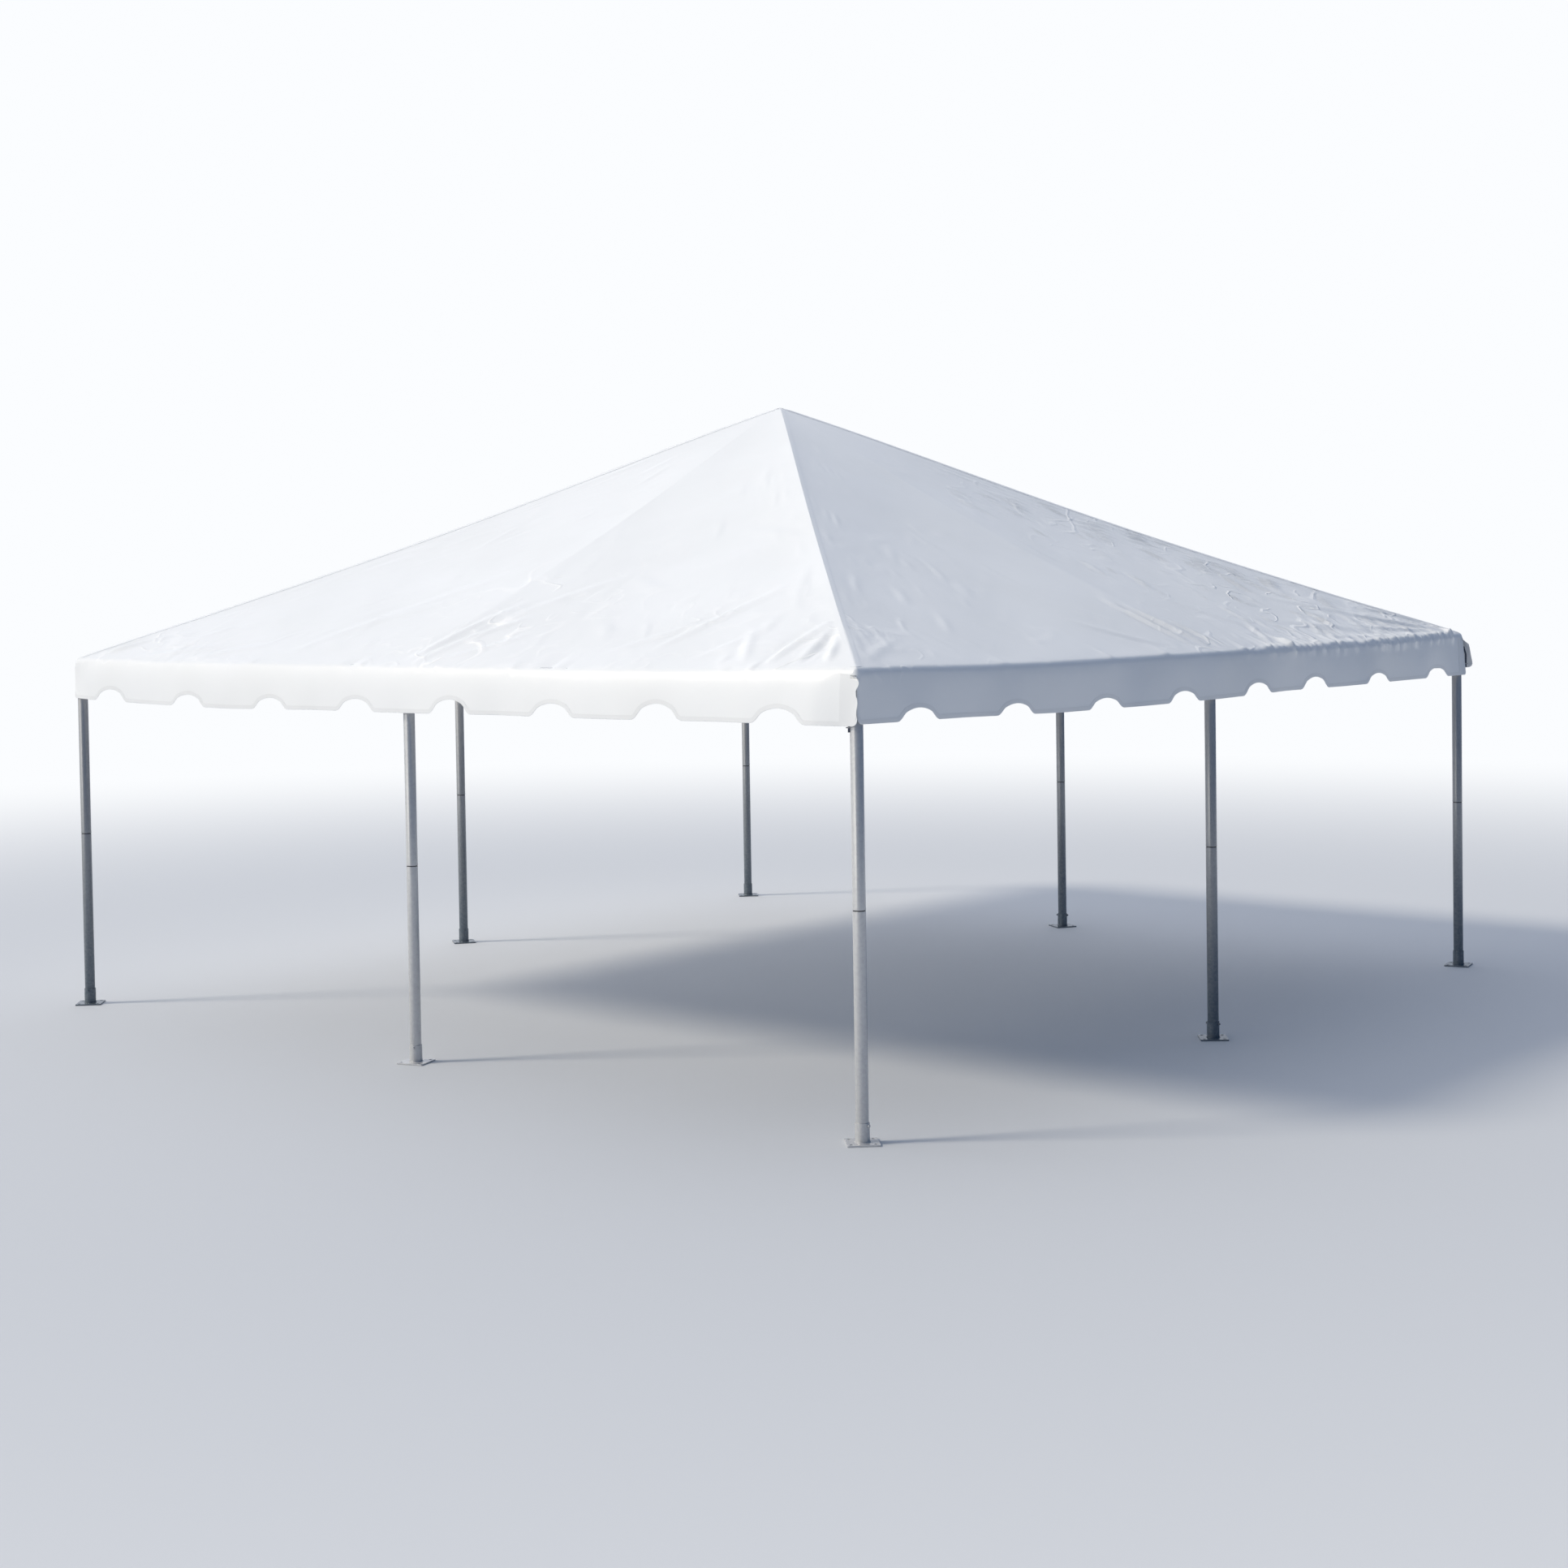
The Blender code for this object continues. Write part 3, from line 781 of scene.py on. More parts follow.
def flapPoint(side, x, height, raised=0.0):
    # The hanging cloth: it leans out a little below the roll, has slow waves that grow towards the
    # lower edge, and its ends stand out or lap
    plan = flapPlan
    rng = np.random.default_rng(80 + sides[side])
    drop = np.maximum(flapTop(side, x) - height, 0)
    low = (drop / plan["fullDrop"]) ** 1.2
    toLeft, toRight = x + eaveOut, eaveOut - x
    wave = np.zeros_like(x)
    for length in plan["waveLengths"]:
        swing = np.sin(2 * np.pi * x / length + rng.uniform(0, 2 * np.pi))
        wave += swing * rng.uniform(0.4, 1) * length ** 0.4
    out = plan["wave"] * wave * low
    out = out * smoothStep(toLeft / plan["waveFades"]) * smoothStep(toRight / plan["waveFades"])
    left, right = plan["flare"][side]
    fades = plan["flareFades"]
    out = out + (left * np.exp(-toLeft / fades) + right * np.exp(-toRight / fades)) * low
    lean = leanOf(side, x)
    out = out + lean * plan["leanFades"] * (1 - np.exp(-drop / plan["leanFades"]))
    out = out - rollRadius * (1 - np.cos(np.arctan(lean)))
    over, under, fades = plan["lap"]
    seam = smoothStep(drop / 0.012)
    out = out + seam * (over * np.exp(-toRight / fades) - under * np.exp(-toLeft / fades))
    # The corner's arc narrows just below the roll
    rollEnd = canopyPlan["cornerRadius"]
    radius = np.where(x > 0, plan["endRadius"][1], plan["endRadius"][0])
    radius = rollEnd + (radius - rollEnd) * smoothStep(drop / 0.02)
    newX, face = roundedCorner(x, np.full_like(x, eaveOut), radius)
    reach = plan["endReach"][side]
    if side == "front":
        high, pitch, first, fades = plan["endWave"]
        reach = reach + high * np.cos(2 * np.pi * (drop - first) / pitch) * np.exp(-drop / fades)
    newX = newX + seam * np.exp(-toRight / 0.03) * reach
    newX = newX - smoothStep(drop / 0.04) * np.exp(-toLeft / 0.04) * plan["startReach"][side]
    return np.stack([newX, -(face + out + raised), height], axis=-1)


def columnPlaces(side, count):
    # Evenly spaced from -1 to 1, then crowded towards both ends and skewed towards the right one
    plan = canopyPlan
    even = np.linspace(-1, 1, count + 1)
    crowded = (1 + plan["crowding"]) * even - plan["crowding"] * even ** 3
    return crowded + plan["skew"][side] * (1 - crowded ** 2)


def canopySkin(side):
    # One side: the roof as a coarse and a fine grid, then the roll and the flap
    plan = canopyPlan
    count = plan["columns"][side]
    coarse = columnPlaces(side, count)
    fine = columnPlaces(side, 2 * count)
    rows = 1 - (1 - np.linspace(0, 1, plan["roofRows"] + 1)) ** plan["rowCrowding"]
    high, low = np.split(rollStart * rows, [plan["roofRows"] - plan["fineRows"]])
    share = np.arange(1, plan["rollRows"] + 1) / plan["rollRows"]
    x, down = np.meshgrid(fine * eaveOut, np.arange(1, plan["flapRows"] + 1) / plan["flapRows"])
    height = flapTop(side, x) + (flapEdge(side, x) - flapTop(side, x)) * down
    upper = roofPoint(side, *np.meshgrid(coarse, high))
    lower = np.concatenate([roofPoint(side, *np.meshgrid(fine, low)),
                            rollPoint(side, *np.meshgrid(fine, share)), flapPoint(side, x, height)])
    # Both grids' corners run down first, which faces them outwards, and a row of triangles joins them
    start = upper.shape[0] * upper.shape[1]
    top = start - len(coarse) + np.arange(count)
    under = start + 2 * np.arange(count)
    fans = [np.stack(three, axis=1) for three in ((top, under, under + 1, under + 1),
                                                  (top, under + 1, top + 1, top + 1),
                                                  (top + 1, under + 1, under + 2, under + 2))]
    faces = np.concatenate([gridFaces(*upper.shape[:2])[:, ::-1]] + fans
                           + [gridFaces(*lower.shape[:2])[:, ::-1] + start])
    points = np.concatenate([upper.reshape(-1, 3), lower.reshape(-1, 3)])
    # The flat cloth: x, and the distance from the peak along the cloth
    slopeLong = rollStart / np.cos(slope)
    arc = rollRadius * (np.pi / 2 - slope)
    lowRuns = np.concatenate([low / np.cos(slope), slopeLong + arc * share])
    run = np.concatenate([np.repeat(high / np.cos(slope), len(coarse)), np.repeat(lowRuns, len(fine)),
                          (slopeLong + arc + rollZ - height).ravel()])
    uv = np.stack([points[:, 0], run], axis=1)
    return quarterTurned(points, sides[side]), faces, uv[faces]


# Where the cloth is crumpled: x, y, radius and amount of each place, and a band along the eaves; there the
# creases are bumped, and their crests are painted whiter as glints
crumpledPlan = {
    "places": (
        (2.6, 2.3, 0.8, 1.0), (2.9, 1.4, 0.5, 0.8), (2.2, 1.4, 0.9, 0.45), (2.95, 0.2, 0.35, 0.7),
        (1.3, 0.9, 0.6, 0.4), (-2.6, 2.4, 0.7, 0.8), (-2.9, -2.2, 0.5, 0.6), (0.2, -2.8, 0.5, 0.8),
        (0.3, -2.3, 0.6, 0.45), (1.7, -2.7, 0.4, 0.5), (2.7, -2.8, 0.4, 0.7), (-2.5, -2.9, 0.5, 0.6),
        (0.3, 2.7, 0.6, 0.7), (-2.8, 0.3, 0.5, 0.6), (1.6, 2.9, 0.5, 0.6),
    ),
    "bandInside": 0.03,       # from the start of the roll
    "bandWide": 0.05,
    "bandLeast": 0.25,
    "flapsFrom": 2.04,        # the flaps hang smooth below this height
}


def crumpledShare(points, plan):
    # A bell for each place, and a band along the eaves that is strongest at the right one's far half
    x, y = points[:, 0], points[:, 1]
    inside = rollStart - plan["bandInside"]
    band = np.exp(-((np.maximum(np.abs(x), np.abs(y)) - inside) / plan["bandWide"]) ** 2)
    far = smoothStep(y + 0.3) * smoothStep((x - 2.8) / 0.1)
    total = band * (plan["bandLeast"] + (1 - plan["bandLeast"]) * far)
    for placeX, placeY, radius, amount in plan["places"]:
        total += amount * np.exp(-((x - placeX) ** 2 + (y - placeY) ** 2) / radius ** 2)
    return np.minimum(total, 1) * smoothStep((points[:, 2] - plan["flapsFrom"]) / 0.08)


def addCrumpled(piece):
    mesh = piece.data
    points = np.zeros(len(mesh.vertices) * 3)
    mesh.vertices.foreach_get("co", points)
    layer = mesh.attributes.new("crumpled", "FLOAT", "POINT")
    layer.data.foreach_set("value", crumpledShare(points.reshape(-1, 3), crumpledPlan))


canopySkins = joined(canopySkin(side) for side in sides)
canopy = makePiece("canopy_sheet", canopySkins, vinyl, sharp=70)
addCrumpled(canopy)
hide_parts(*[f"{part}_{side}" for part in ("roof_panel", "valance") for side in sides])
print("canopy made,", len(canopy.data.polygons), "faces")


# Bindings, seams and closure strips on the canopy
trimPlan = {
    "hemWide": 0.021,
    "hemThick": 0.0011,
    "hemSteps": 760,
    "seamWide": 0.024,        # on each side of a hip
    "seamThick": 0.0009,
    "stripWide": 0.095,
    "stripThick": 0.0009,
    "above": 0.0004,          # the trims' backs, above the middle of the cloth
    "foldWide": 0.038,
    "foldThick": 0.0018,
    "folds": ((0.005, 0.006), (-0.0055, 0.004)),     # top above the end of the roll, and height
}


def hemSkin(side):
    # A folded binding along the lower edge: its outline wraps the edge and is carried along it
    wide, thick = trimPlan["hemWide"], trimPlan["hemThick"]
    x = np.linspace(-eaveOut + 0.0005, eaveOut - 0.0005, trimPlan["hemSteps"])
    edge = flapEdge(side, x)
    lean = np.gradient(edge, x)
    inward = np.stack([-lean, np.ones_like(lean)], axis=-1) / np.hypot(lean, 1)[:, None]
    outline = [(wide, thick), (wide / 2, thick), (0, thick), (-thick, 0), (0, -thick), (wide / 2, -thick),
               (wide, -thick)]
    rings = []
    for inside, out in outline:
        bandX = np.clip(x + inside * inward[:, 0], -eaveOut, eaveOut)
        rings.append(flapPoint(side, bandX, edge + inside * inward[:, 1], out))
    grid = np.stack(rings, axis=1)
    count = len(outline)
    faces = gridFaces(len(x), count, wrapColumns=True)
    uv = np.stack(gridCloth(faces, runOf(grid[:, 0]), np.arange(count + 1) * wide / 2), axis=-1)
    # Three faces close each end
    cap = np.array([(0, 1, 5, 6), (1, 2, 4, 5), (2, 3, 4, 4)])
    faces = np.concatenate([faces, cap[:, ::-1], cap + (len(x) - 1) * count])
    uv = np.concatenate([uv, np.zeros((2 * len(cap), 4, 2))])
    return quarterTurned(grid.reshape(-1, 3), sides[side]), faces, uv


def followingSide(side):
    return list(sides)[(sides[side] + 1) % 4]


def hipSeamSkin(side):
    # The welded overlap of two panels: a thin band on both sides of the hip at the panel's right
    plan = trimPlan
    distance = np.linspace(0.04, rollStart - 0.002, 150)[:, None]
    offs = np.linspace(0, 1, 5) * plan["seamWide"]
    outward = np.array([0, -np.sin(slope), np.cos(slope)])
    halves = []
    for quarter, name, end in ((sides[side], side, 1), (sides[side] + 1, followingSide(side), -1)):
        # A band of even width runs parallel to the hip
        x = distance - offs * np.sqrt(1 + np.cos(slope) ** 2) / np.cos(slope)
        grid = roofPoint(name, end * np.clip(x / distance, 0, 1), distance + 0 * offs, plan["above"])
        halves.append((quarterTurned(grid, quarter), quarterTurned(outward, quarter)))
    (first, firstOut), (second, secondOut) = halves
    grid = np.concatenate([first[:, ::-1], second[:, 1:]], axis=1)
    outs = np.array([firstOut] * 4 + [unit(firstOut + secondOut)] + [secondOut] * 4)
    return slabSkin(grid[:, ::-1], outs[::-1], plan["seamThick"])


def bandSkin(side, x, top, low, rows, thick):
    # A slab on a flap, between two heights
    share = np.linspace(0, 1, rows)[:, None]
    grid = flapPoint(side, x + 0 * share, top + (low - top) * share, trimPlan["above"])
    outward = quarterTurned(np.array([0, -1.0, 0]), sides[side])
    return slabSkin(quarterTurned(grid, sides[side])[:, ::-1], outward, thick)


def stripSkin(side):
    # The closure strip at a flap's right end
    plan = trimPlan
    x = eaveOut - np.linspace(plan["stripWide"], 0.001, 14)
    top, low = flapTop(side, x) + plan["folds"][0][0], flapEdge(side, x) + plan["hemWide"]
    return bandSkin(side, x, top, low, 26, plan["stripThick"])


def foldSkin(side):
    # The strip's top is folded twice near the corner, and the folds are painted dark grey as the two thin
    # shadow lines under them
    plan = trimPlan
    x = eaveOut - np.linspace(plan["foldWide"], 0.001, 14)
    tops = [(flapTop(side, x) + above, tall) for above, tall in plan["folds"]]
    return joined(bandSkin(side, x, top, top - tall, 4, plan["foldThick"]) for top, tall in tops)


# Webbing straps that hang inside the canopy's corners, each with a bar through its loop; their near-black
# blue is painted shade that darkens the slit at each corner
strapPlan = {
    "wide": 0.011,
    "thick": 0.0016,
    "bar": (0.0028, 0.014),       # radius and half length
    "barAbove": 0.022,            # the strap's lower end
    "barGap": 0.0002,
    "underPipe": 0.008,           # its top, under the eave pipes
    "bend": 0.05,                 # from there down to where it hangs straight
    # How far outwards from the leg's middle in both directions its top and its foot are; the foot's
    # height; its turn in degrees
    "front_right": ((-0.022, 0.036), (-0.0215, 0.0265), 1.848, 39),
    "back_right": ((0.040, 0.018), (0.052, 0.024), 1.915, 25),
    "back_left": ((0.022, 0.036), (0.024, 0.034), 1.862, 135),
    "front_left": ((-0.020, 0.036), (-0.024, 0.034), 1.905, -30),
    # Painted shade: the tape's near-black blue darkens the corner slits and the spot under the near corner
    "webbing": (0.035, 0.045, 0.075, 1),
    "worn": (0.07, 0.085, 0.12, 1),
    "wearScale": 60.0,
    "wearRange": (0.35, 0.7),
    "pitch": 0.0022,
    "ribDepth": 0.0003,
}


def makeWebbing(plan):
    # Woven tape in a near-black blue that stands in for the shade in the corner slits: ribs across it, and a
    # slight wear
    material, shader = newMaterial("webbing dark as slit shade", metallic=0.0, roughness=0.75)
    wear = ramp(material, noise(material, bodyPlace(material), plan["wearScale"]), *plan["wearRange"])
    ribs = bands(material, clothPlace(material), plan["pitch"], "X")
    fill(shader, {
        "Base Color": blended(material, wear, plan["webbing"], plan["worn"]),
        "Normal": bumped(material, ribs, 0.6, plan["ribDepth"]),
    })
    return material


def strapSkin(corner, plan):
    # A tape from its top to above its foot, and straight down to the foot, with a bar near its lower end
    x, y = corners[corner]
    top, foot, footZ, turn = plan[corner]
    topZ = eaveZ - pipeRadius - plan["underPipe"]
    start, bend, end = (np.array([x * (half + out), y * (half + along), z])
                        for (out, along), z in ((top, topZ), (foot, topZ - plan["bend"]), (foot, footZ)))
    across = np.array([np.cos(np.radians(turn)), np.sin(np.radians(turn)), 0])
    outward = np.cross(across, [0, 0, 1.0])
    steps = np.linspace(0, 1, 7)[:, None]
    path = np.concatenate([start + (bend - start) * steps[:-1], bend + (end - bend) * steps])
    wide, thick = plan["wide"] / 2, plan["thick"] / 2
    outline = [(-wide, -thick), (wide, -thick), (wide, thick), (-wide, thick)]
    radius, long = plan["bar"]
    middle = end + (0, 0, plan["barAbove"]) + outward * (radius + thick + plan["barGap"])
    bar = turnedSkin([(0, -long), (radius, -long), (radius, long), (0, long)], middle, across, 16)
    return sweptSkin(path, across, outward, outline), bar


webbing = makeWebbing(strapPlan)
for corner in corners:
    strap, bar = strapSkin(corner, strapPlan)
    makePiece("corner_strap_" + corner, strap, webbing)
    makePiece("strap_bar_" + corner, bar, paintedShadeZinc)

for side in sides:
    for name, skin, material in ((f"flap_binding_{side}", hemSkin(side), tapeVinyl),
                                 (f"closure_strip_{side}", stripSkin(side), tapeVinyl),
                                 (f"strip_fold_{side}", foldSkin(side), foldShadowVinyl),
                                 (f"hip_seam_{side}_{followingSide(side)}", hipSeamSkin(side), vinyl)):
        makePiece(name, skin, material)

print("bindings, seams and strips made")


# Pipes, in place of the frame's own straight ones
pipePlan = {
    "wall": 0.00165,
    "sides": 48,
    "lip": 0.0008,
    "steps": 24,              # along a rafter or an eave pipe
    # Groove and swelling where a leg's lengths meet: beyond the pipe's radius, and above the joint
    "joint": ((0, -0.007), (-0.00036, -0.0029), (-0.0012, -0.0025), (-0.0012, 0.0025), (0.0003, 0.0028),
              (0.0005, 0.004), (0.0005, 0.009), (0, 0.014)),
    # These legs and their base plates keep the plain zinc; the rest, and the strap bars, get the zinc with
    # painted shade
    "brightLegs": ("front_right", "front_middle"),
}


def pipeEnds(node):
    # The axis of a pipe from its node's box: a pipe's box is its length in each direction, plus its
    # radius times the sine of the angle between the axis and that direction
    middle, size = middleOf(node), sizeOf(node)
    if node.startswith(("leg", "eave")):
        axis = np.eye(3)[size.argmax()]
        length = size.max()
    else:
        axis = unit(np.array([0, 0, peakZ]) - middle)
        length = (size[2] - 2 * pipeRadius * np.sqrt(1 - axis[2] ** 2)) / axis[2]
    return middle - axis * length / 2, middle + axis * length / 2


def pipeProfile(length, joint):
    # Out along the skin, with soft lips, and back along the bore; a leg has a groove at its joint
    plan = pipePlan
    bore = pipeRadius - plan["wall"]
    steps = [] if joint else np.linspace(0, length, plan["steps"] + 1)[1:-1]
    middle = [(pipeRadius + out, joint + above) for out, above in plan["joint"]] if joint else []
    outer = middle + [(pipeRadius, step) for step in steps]
    inner = [(bore, length)] + [(bore, step) for step in steps[::-1]] + [(bore, 0)]
    near = lipPoints(pipeRadius, 0, plan["lip"], 1)
    far = lipPoints(pipeRadius, length, plan["lip"], -1)
    return near + outer + far + inner


def makePipe(node, material):
    start, end = pipeEnds(node)
    joint = jointZ - start[2] if node.startswith("leg") else None
    profile = pipeProfile(np.linalg.norm(end - start), joint)
    points, faces, uv = turnedSkin(profile, start, end - start, pipePlan["sides"])
    if "rafter" in node:
        # Bowed by its horizontal distance from the peak
        share = 1 if node.startswith("mid") else 2
        points[:, 2] -= bowOf((np.abs(points[:, 0]) + np.abs(points[:, 1])) / share)
    piece = makePiece("tube_" + node, (points, faces, uv), material)
    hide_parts(node)


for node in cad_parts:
    if node.startswith(("leg", "eave_pipe", "hip_rafter", "mid_rafter")):
        bright = not node.startswith("leg") or node[4:] in pipePlan["brightLegs"]
        makePipe(node, brightZinc if bright else paintedShadeZinc)
print("pipes made")


# Fittings, welded from tube
fittingPlan = {
    "armStart": 0.004,        # inside the fitting's middle
    "arm": 0.110,             # from a fitting's middle to its pipes' ends
    "crownArm": 0.150,
    "stub": 0.0273,           # radius of the stubs inside the pipes
    "stubLong": 0.060,
    "hub": (0.062, -0.075, 0.003),     # radius, bottom and top of the crown's hub
    "hubSoft": 0.003,
    "hubSunk": (0.008, 0.007),         # edges of the sunk disc in its foot, inside its radius
    "bead": 0.0026,
    "beadSides": 8,
    "ripple": 0.0045,         # pitch of the ripples along a weld
    "rippleShare": 0.18,
    "beadEnds": 0.004,        # the ends of a weld that tapers
    "bending": 125,           # arms at a wider angle than this have no weld between them
}


def beadSkin(path, normal, plan, closed):
    # A rippled round bead along a flat path: circles across it, whose radius swells and narrows along
    # its length, and dies out at the ends of an open one
    run = runOf(path)
    ahead = np.roll(path, -1, axis=0) - np.roll(path, 1, axis=0) if closed else np.gradient(path, axis=0)
    side = unit(np.cross(normal, ahead))
    radius = plan["bead"] * (1 + plan["rippleShare"] * np.sin(2 * np.pi * run / plan["ripple"]))
    if not closed:
        radius = radius * np.sqrt(np.clip(np.minimum(run, run[-1] - run) / plan["beadEnds"], 0, 1))
    count = plan["beadSides"]
    angle = np.arange(count) * 2 * np.pi / count
    offset = np.cos(angle)[:, None] * side[:, None] + np.sin(angle)[:, None] * np.array(normal)
    points = path[:, None] + radius[:, None, None] * offset
    faces = gridFaces(len(path), count, wrapRows=closed, wrapColumns=True)
    row, column = np.divmod(faces, count)
    uv = np.stack([column * plan["bead"], run[row]], axis=-1)
    return points.reshape(-1, 3), faces, uv


def armSkin(middle, direction, long):
    # A closed tube end: out along the arm, over its lip, and along the stub that goes into the pipe
    start, stub = fittingPlan["armStart"], fittingPlan["stub"]
    end = long + fittingPlan["stubLong"]
    profile = [(0, start), (pipeRadius, start), *lipPoints(pipeRadius, long, pipePlan["lip"], -1),
               (stub, long), (stub, end), (0, end)]
    return turnedSkin(profile, middle, direction, pipePlan["sides"])


def mitreBeads(middle, arms, plan):
    # Two equal tubes meet on an ellipse in the plane between them: the tube's radius over the sine of
    # half their angle along the bisector, and the radius across it
    beads = []
    turn = np.linspace(-np.pi / 2, np.pi / 2, 90)[:, None]
    for index, first in enumerate(arms):
        for second in arms[index + 1:]:
            angle = np.arccos(np.dot(first, second))
            if angle < np.radians(plan["bending"]):
                bisector, across = unit(first + second), unit(np.cross(first, second))
                path = (middle + pipeRadius / np.sin(angle / 2) * np.cos(turn) * bisector
                        + pipeRadius * np.sin(turn) * across)
                beads.append(beadSkin(path, unit(first - second), plan, False))
    return beads


def ballSkin(middle, radius):
    # A half circle carried round the upright axis
    turn = np.linspace(-np.pi / 2, np.pi / 2, 13)
    profile = np.stack([radius * np.cos(turn), radius * np.sin(turn)], axis=1)
    return turnedSkin(profile, middle, (0, 0, 1), pipePlan["sides"])


def hubSkin(middle, plan):
    # A short upright tube with rounded rims and a sunk disc in its foot
    radius, low, high = plan["hub"]
    soft = plan["hubSoft"]
    disc, rim = plan["hubSunk"]
    profile = [(0, low + soft), (radius - disc, low + soft), (radius - rim, low),
               *lipPoints(radius, low, soft, 1), *lipPoints(radius, high, soft, -1), (0, high)]
    return turnedSkin(profile, middle, (0, 0, 1), pipePlan["sides"])


def makeFitting(node, middle, arms, long, core):
    arms = [unit(np.array(arm, float)) for arm in arms]
    skins = [armSkin(middle, arm, long) for arm in arms] + mitreBeads(middle, arms, fittingPlan) + [core]
    piece = makePiece("welded_" + node, joined(skins), brightZinc)
    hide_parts(node)


for name, (x, y) in corners.items():
    middle = np.array([x * half, y * half, eaveZ])
    arms = [(-x, 0, 0), (0, -y, 0), (0, 0, -1), (-x, -y, tanSlope)]
    makeFitting("corner_fitting_" + name, middle, arms, fittingPlan["arm"], ballSkin(middle, pipeRadius))
for name, quarter in sides.items():
    middle = quarterTurned(np.array([0, -half, eaveZ]), quarter)
    arms = quarterTurned(np.array([(1, 0, 0), (-1, 0, 0), (0, 0, -1), (0, 1, tanSlope)], float), quarter)
    makeFitting("side_fitting_" + name, middle, arms, fittingPlan["arm"], ballSkin(middle, pipeRadius))
middle = np.array([0, 0, peakZ])
arms = [quarterTurned(np.array(arm, float), quarter) for quarter in range(4)
        for arm in ((-1, -1, -tanSlope), (0, -1, -tanSlope))]
makeFitting("crown_fitting", middle, arms, fittingPlan["crownArm"], hubSkin(middle, fittingPlan))
print("fittings made")


# Base plates: a drilled plate, a sleeve welded to it and a pin through the sleeve and the leg
platePlan = {
    "side": 0.1524,
    "thick": 0.008,
    "bevel": 0.0011,
    "corner": 0.004,
    "holeRadius": 0.008,
    "holeInset": 0.021,
    "sleeveWall": 0.0035,
    "fit": 0.0003,
    "sleeveTop": 0.095,
    "pinZ": 0.083,
    "pinRadius": 0.006,
    "pinStandsOut": 0.009,
    "pinSoft": 0.0012,
    "pinSides": 20,
    # Turns of each plate and of its pin, in degrees
    "turns": {"front_left": (45, -50), "front_middle": (20, -60), "front_right": (45, 0),
              "right_middle": (38, 0), "back_right": (14, -40), "back_middle": (60, 20),
              "back_left": (45, -45), "left_middle": (55, -30)},
}


def cornered(points, limit, radius):
    # Points of a square's edge, of which those near its outer corner move to an arc
    over = points - (limit - radius)
    near = (over > 0).all(axis=1)
    return np.where(near[:, None], limit - radius + radius * unit(np.where(near[:, None], over, 1.0)), points)


def plateSkin(plan):
    # Four mirrored quarters, each a loft from the rim of its hole to the edge of its square, above and
    # below, with no wall between the quarters
    reach, thick, bevel, steps = plan["side"] / 2, plan["thick"], plan["bevel"], 8
    share = np.arange(steps) / steps * reach
    none, full = 0 * share, 0 * share + reach
    edge = np.concatenate([np.stack(pair, axis=1) for pair in (
        (share, none), (full, share), (reach - share, full), (none, reach - share))])
    hole = reach - plan["holeInset"]
    around, radius = unit(edge - hole), plan["holeRadius"]
    top = cornered(np.minimum(edge, reach - bevel), reach - bevel, plan["corner"])
    rim = cornered(edge, reach, plan["corner"])
    rows = ((hole + around * (radius + bevel), 0), (hole + around * radius, bevel),
            (hole + around * radius, thick - bevel), (hole + around * (radius + bevel), thick),
            (top, thick), (rim, thick - bevel), (rim, bevel), (top, 0))
    points = np.concatenate([np.column_stack([flat, np.full(len(flat), z)]) for flat, z in rows])
    faces = gridFaces(len(rows), len(edge), wrapRows=True, wrapColumns=True)
    row, column = np.divmod(faces[:, 0], len(edge))
    inner = (column < steps) | (column >= 3 * steps)
    faces = faces[~(inner & (row >= 4) & (row <= 6))]
    skins = []
    for x, y in corners.values():
        turned, ways = points * (x, y, 1), faces[:, ::-1] if x * y > 0 else faces
        skins.append((turned, ways, turned[:, :2][ways]))
    return joined(skins)


def sleeveSkin(foot, inner, outer, plan):
    # An upright tube round the leg, with a lip at its top
    low, high, lip = plan["thick"] / 2, plan["sleeveTop"], pipePlan["lip"]
    profile = [(outer, low), (outer, high - lip), (outer - lip, high), (inner + lip / 2, high),
               (inner, high - lip), (inner, low)]
    return turnedSkin(profile, foot, (0, 0, 1), pipePlan["sides"])


def makeBase(name, x, y, plan):
    plateTurn, pinTurn = np.radians(plan["turns"][name])
    foot = np.array([x * half, y * half, 0])
    inner = pipeRadius + plan["fit"]
    outer = inner + plan["sleeveWall"]
    points, faces, uv = plateSkin(plan)
    cos, sin = np.cos(plateTurn), np.sin(plateTurn)
    turned = points @ np.array([[cos, sin, 0], [-sin, cos, 0], [0, 0, 1]])
    ring = np.linspace(0, 2 * np.pi, 140, endpoint=False)
    circle = np.stack([np.cos(ring), np.sin(ring), 0 * ring], axis=1)
    path = foot + (0, 0, plan["thick"]) + (outer + 0.001) * circle
    skins = [(turned + foot, faces, uv), sleeveSkin(foot, inner, outer, plan),
             beadSkin(path, (0, 0, 1), fittingPlan, True)]
    # The pin's two ends stand out of the sleeve
    pin, end = plan["pinRadius"], outer + plan["pinStandsOut"]
    start = inner + 0.001
    profile = [(0, start), (pin, start), *lipPoints(pin, end, plan["pinSoft"], -1), (0, end)]
    for angle in (pinTurn, pinTurn + np.pi):
        axis = (np.cos(angle), np.sin(angle), 0)
        skins.append(turnedSkin(profile, foot + (0, 0, plan["pinZ"]), axis, plan["pinSides"]))
    material = brightZinc if name in pipePlan["brightLegs"] else paintedShadeZinc
    piece = makePiece("welded_base_" + name, joined(skins), material)
    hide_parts("base_plate_" + name)


for name, (x, y) in feet.items():
    makeBase(name, x, y, platePlan)
print("base plates made")

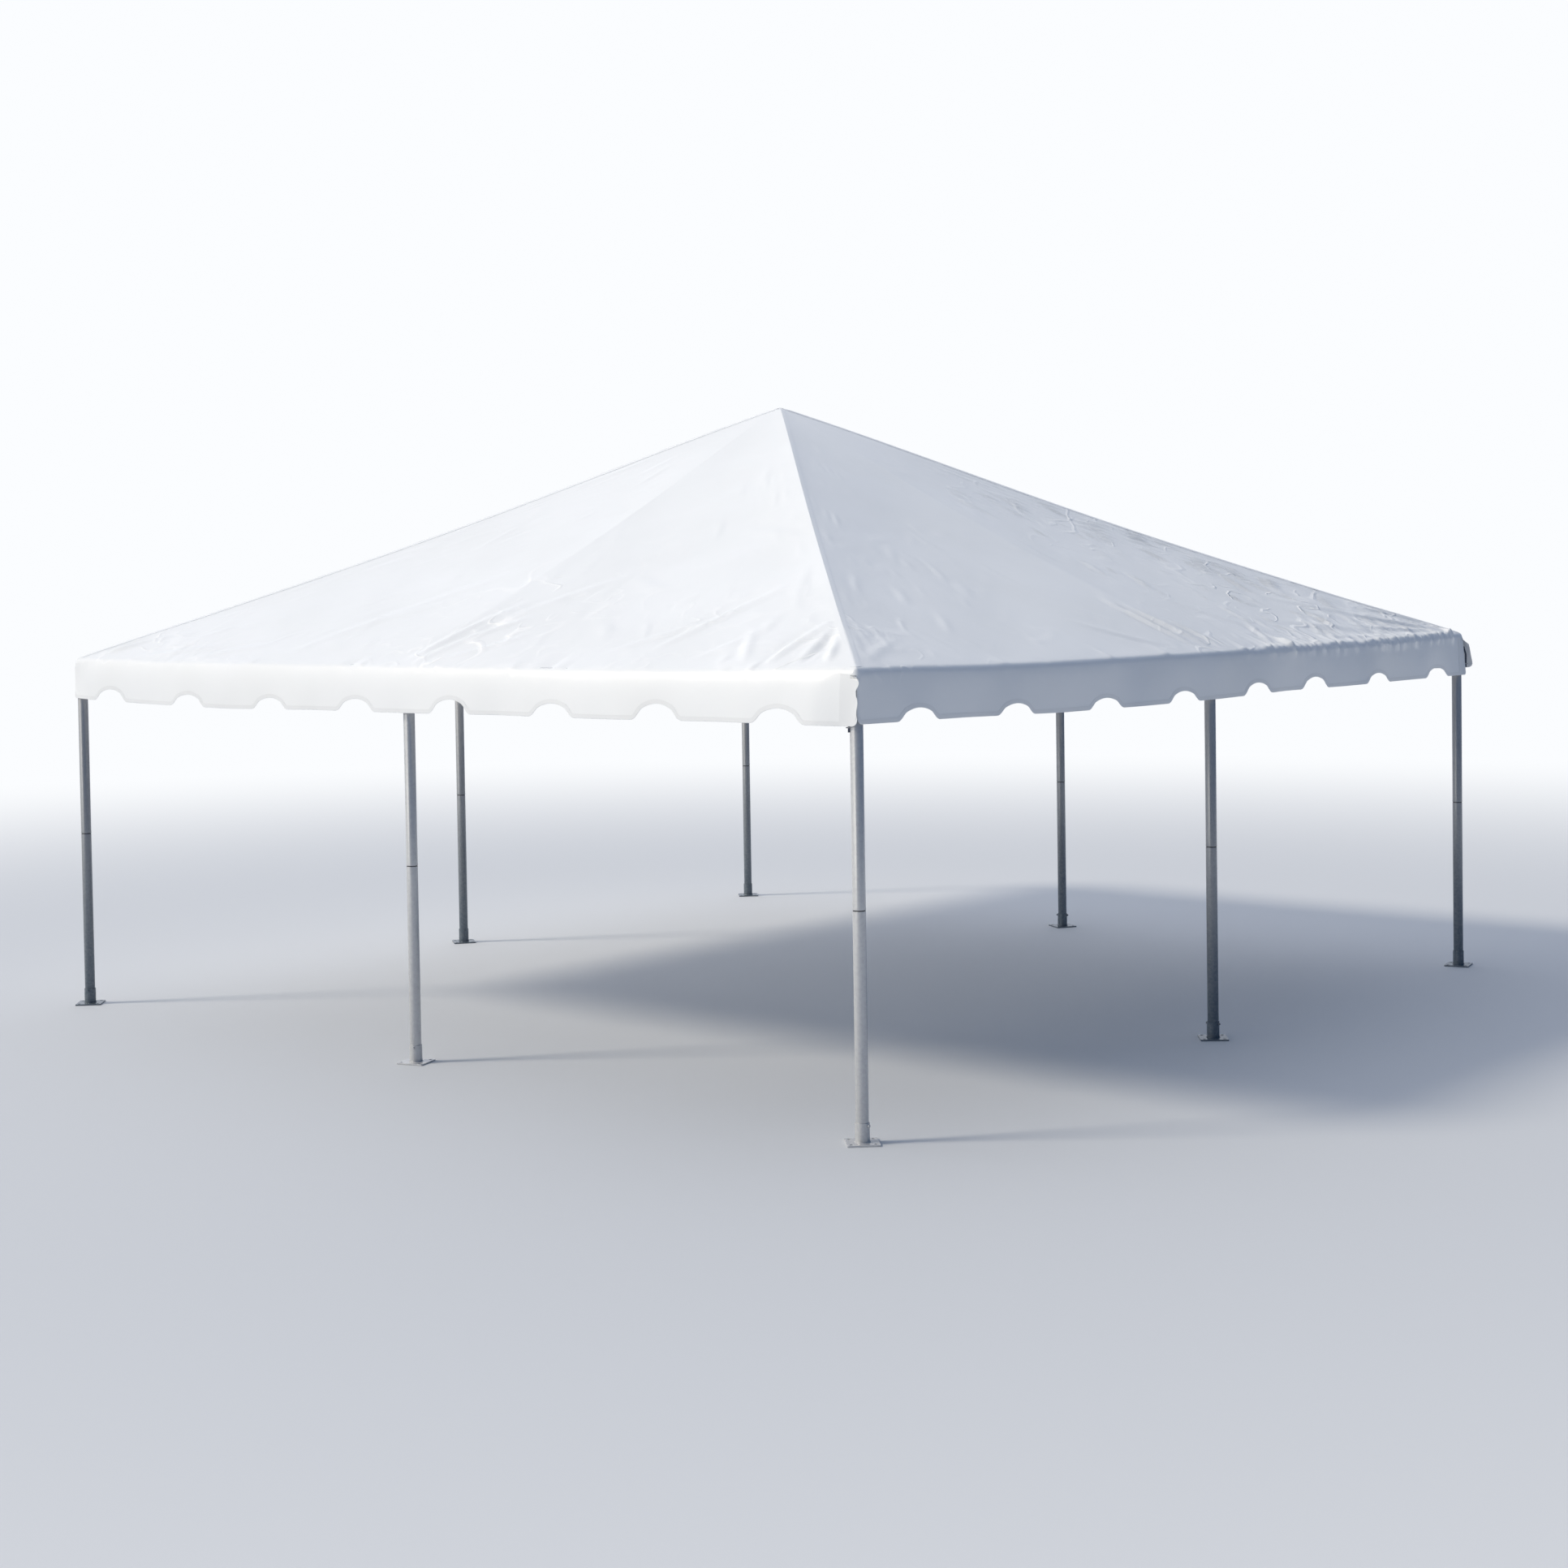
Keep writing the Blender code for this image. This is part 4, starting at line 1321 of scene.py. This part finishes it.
# Floor, light and sky
stagePlan = {
    "background": (0.965, 0.98, 1.0, 1),
    "floor": (0.655, 0.675, 0.71, 1),
    "floorHalf": 120.0,
    "floorBelow": 0.0002,
    "floorFades": (6.0, 20.0),
    "sunFrom": (-0.98, -1.10, 1.15),
    "sunColour": (1.0, 0.91, 0.75),
    "sunPower": 1.93,
    "sunSoft": 12.0,
    "skyLow": (0.0, 0.06, 0.17, 1),
    "skyBright": (0.97, 1.01, 1.10, 1),
    "skyTowards": (-0.62, 0.25, 0.74),      # the middle of its bright part, high up at the left
    "skyEdge": (0.34, 0.84),
    "glowFrom": (-0.577, -0.816, 0.10),     # a broad low lamp at the front left
    "glowEdge": (0.86, 1.0),
    "glowPower": 1.3,
    "frontFrom": (-0.126, -0.992, 0.05),    # a narrow one in front, for the streak down the near legs
    "frontEdge": (0.94, 1.0),
    "frontPower": 2.6,
    "lampColour": (1.0, 0.95, 0.84),
}


def makeStage(plan):
    # A plain floor that fades into the background with distance
    reach = plan["floorHalf"]
    grid = np.stack(np.meshgrid([-reach, reach], [-reach, reach]), axis=-1).reshape(-1, 2)
    mesh = bpy.data.meshes.new("floor")
    mesh.from_pydata([(x, y, -plan["floorBelow"]) for x, y in grid.tolist()], [], [(0, 1, 3, 2)])
    floor = bpy.data.objects.new("floor", mesh)
    material, shader = newMaterial("pale floor", metallic=0.0, roughness=0.8)
    fill(shader, {"Base Color": plan["floor"]})
    away = addNode(material, "ShaderNodeVectorMath", {0: bodyPlace(material)}, operation="LENGTH")
    near, far = plan["floorFades"]
    fade = addNode(material, "ShaderNodeMapRange", {0: away.outputs["Value"], 1: near, 2: far},
                   interpolation_type="SMOOTHSTEP").outputs[0]
    plain = addNode(material, "ShaderNodeEmission", {"Color": plan["background"]}).outputs[0]
    both = addNode(material, "ShaderNodeMixShader", {0: fade, 1: shader.outputs[0], 2: plain}).outputs[0]
    fill(material.node_tree.nodes["Material Output"], {0: both})
    mesh.materials.append(material)
    bpy.context.scene.collection.objects.link(floor)


def makeLight(plan):
    # A soft sun from the front left, a sky that is bright high up at the left, and two low lamps in it;
    # the camera itself sees the plain background
    sun = bpy.data.objects.new("sun", bpy.data.lights.new("sun", "SUN"))
    sun.data.energy = plan["sunPower"]
    sun.data.color = plan["sunColour"]
    sun.data.angle = np.radians(plan["sunSoft"])
    back = unit(np.array(plan["sunFrom"]))
    side = unit(np.cross([0, 0, 1.0], back))
    matrix = np.eye(4)
    matrix[:3, :3] = np.column_stack([side, np.cross(back, side), back])
    sun.matrix_world = Matrix(matrix.tolist())
    bpy.context.scene.collection.objects.link(sun)
    world = bpy.data.worlds.new("sky")
    bpy.context.scene.world = world
    world.use_nodes = True
    direction = addNode(world, "ShaderNodeTexCoord", {}).outputs["Generated"]

    def combined(operation, first, second, output=0):
        node = addNode(world, "ShaderNodeVectorMath", {0: first, 1: second}, operation=operation)
        return node.outputs[output]

    def towards(axis):
        return combined("DOT_PRODUCT", direction, tuple(unit(np.array(axis))), "Value")

    bright = ramp(world, towards(plan["skyTowards"]), *plan["skyEdge"])
    colour = blended(world, bright, plan["skyLow"], plan["skyBright"])
    for lamp in ("glow", "front"):
        light = ramp(world, towards(plan[lamp + "From"]), *plan[lamp + "Edge"], 0.0, plan[lamp + "Power"])
        colour = combined("ADD", colour, combined("MULTIPLY", plan["lampColour"], light))
    seen = addNode(world, "ShaderNodeLightPath", {}).outputs["Is Camera Ray"]
    fill(world.node_tree.nodes["Background"], {0: blended(world, seen, colour, plan["background"])})


makeStage(stagePlan)
makeLight(stagePlan)
bpy.context.scene.view_settings.view_transform = "Standard"
print("floor and light made")
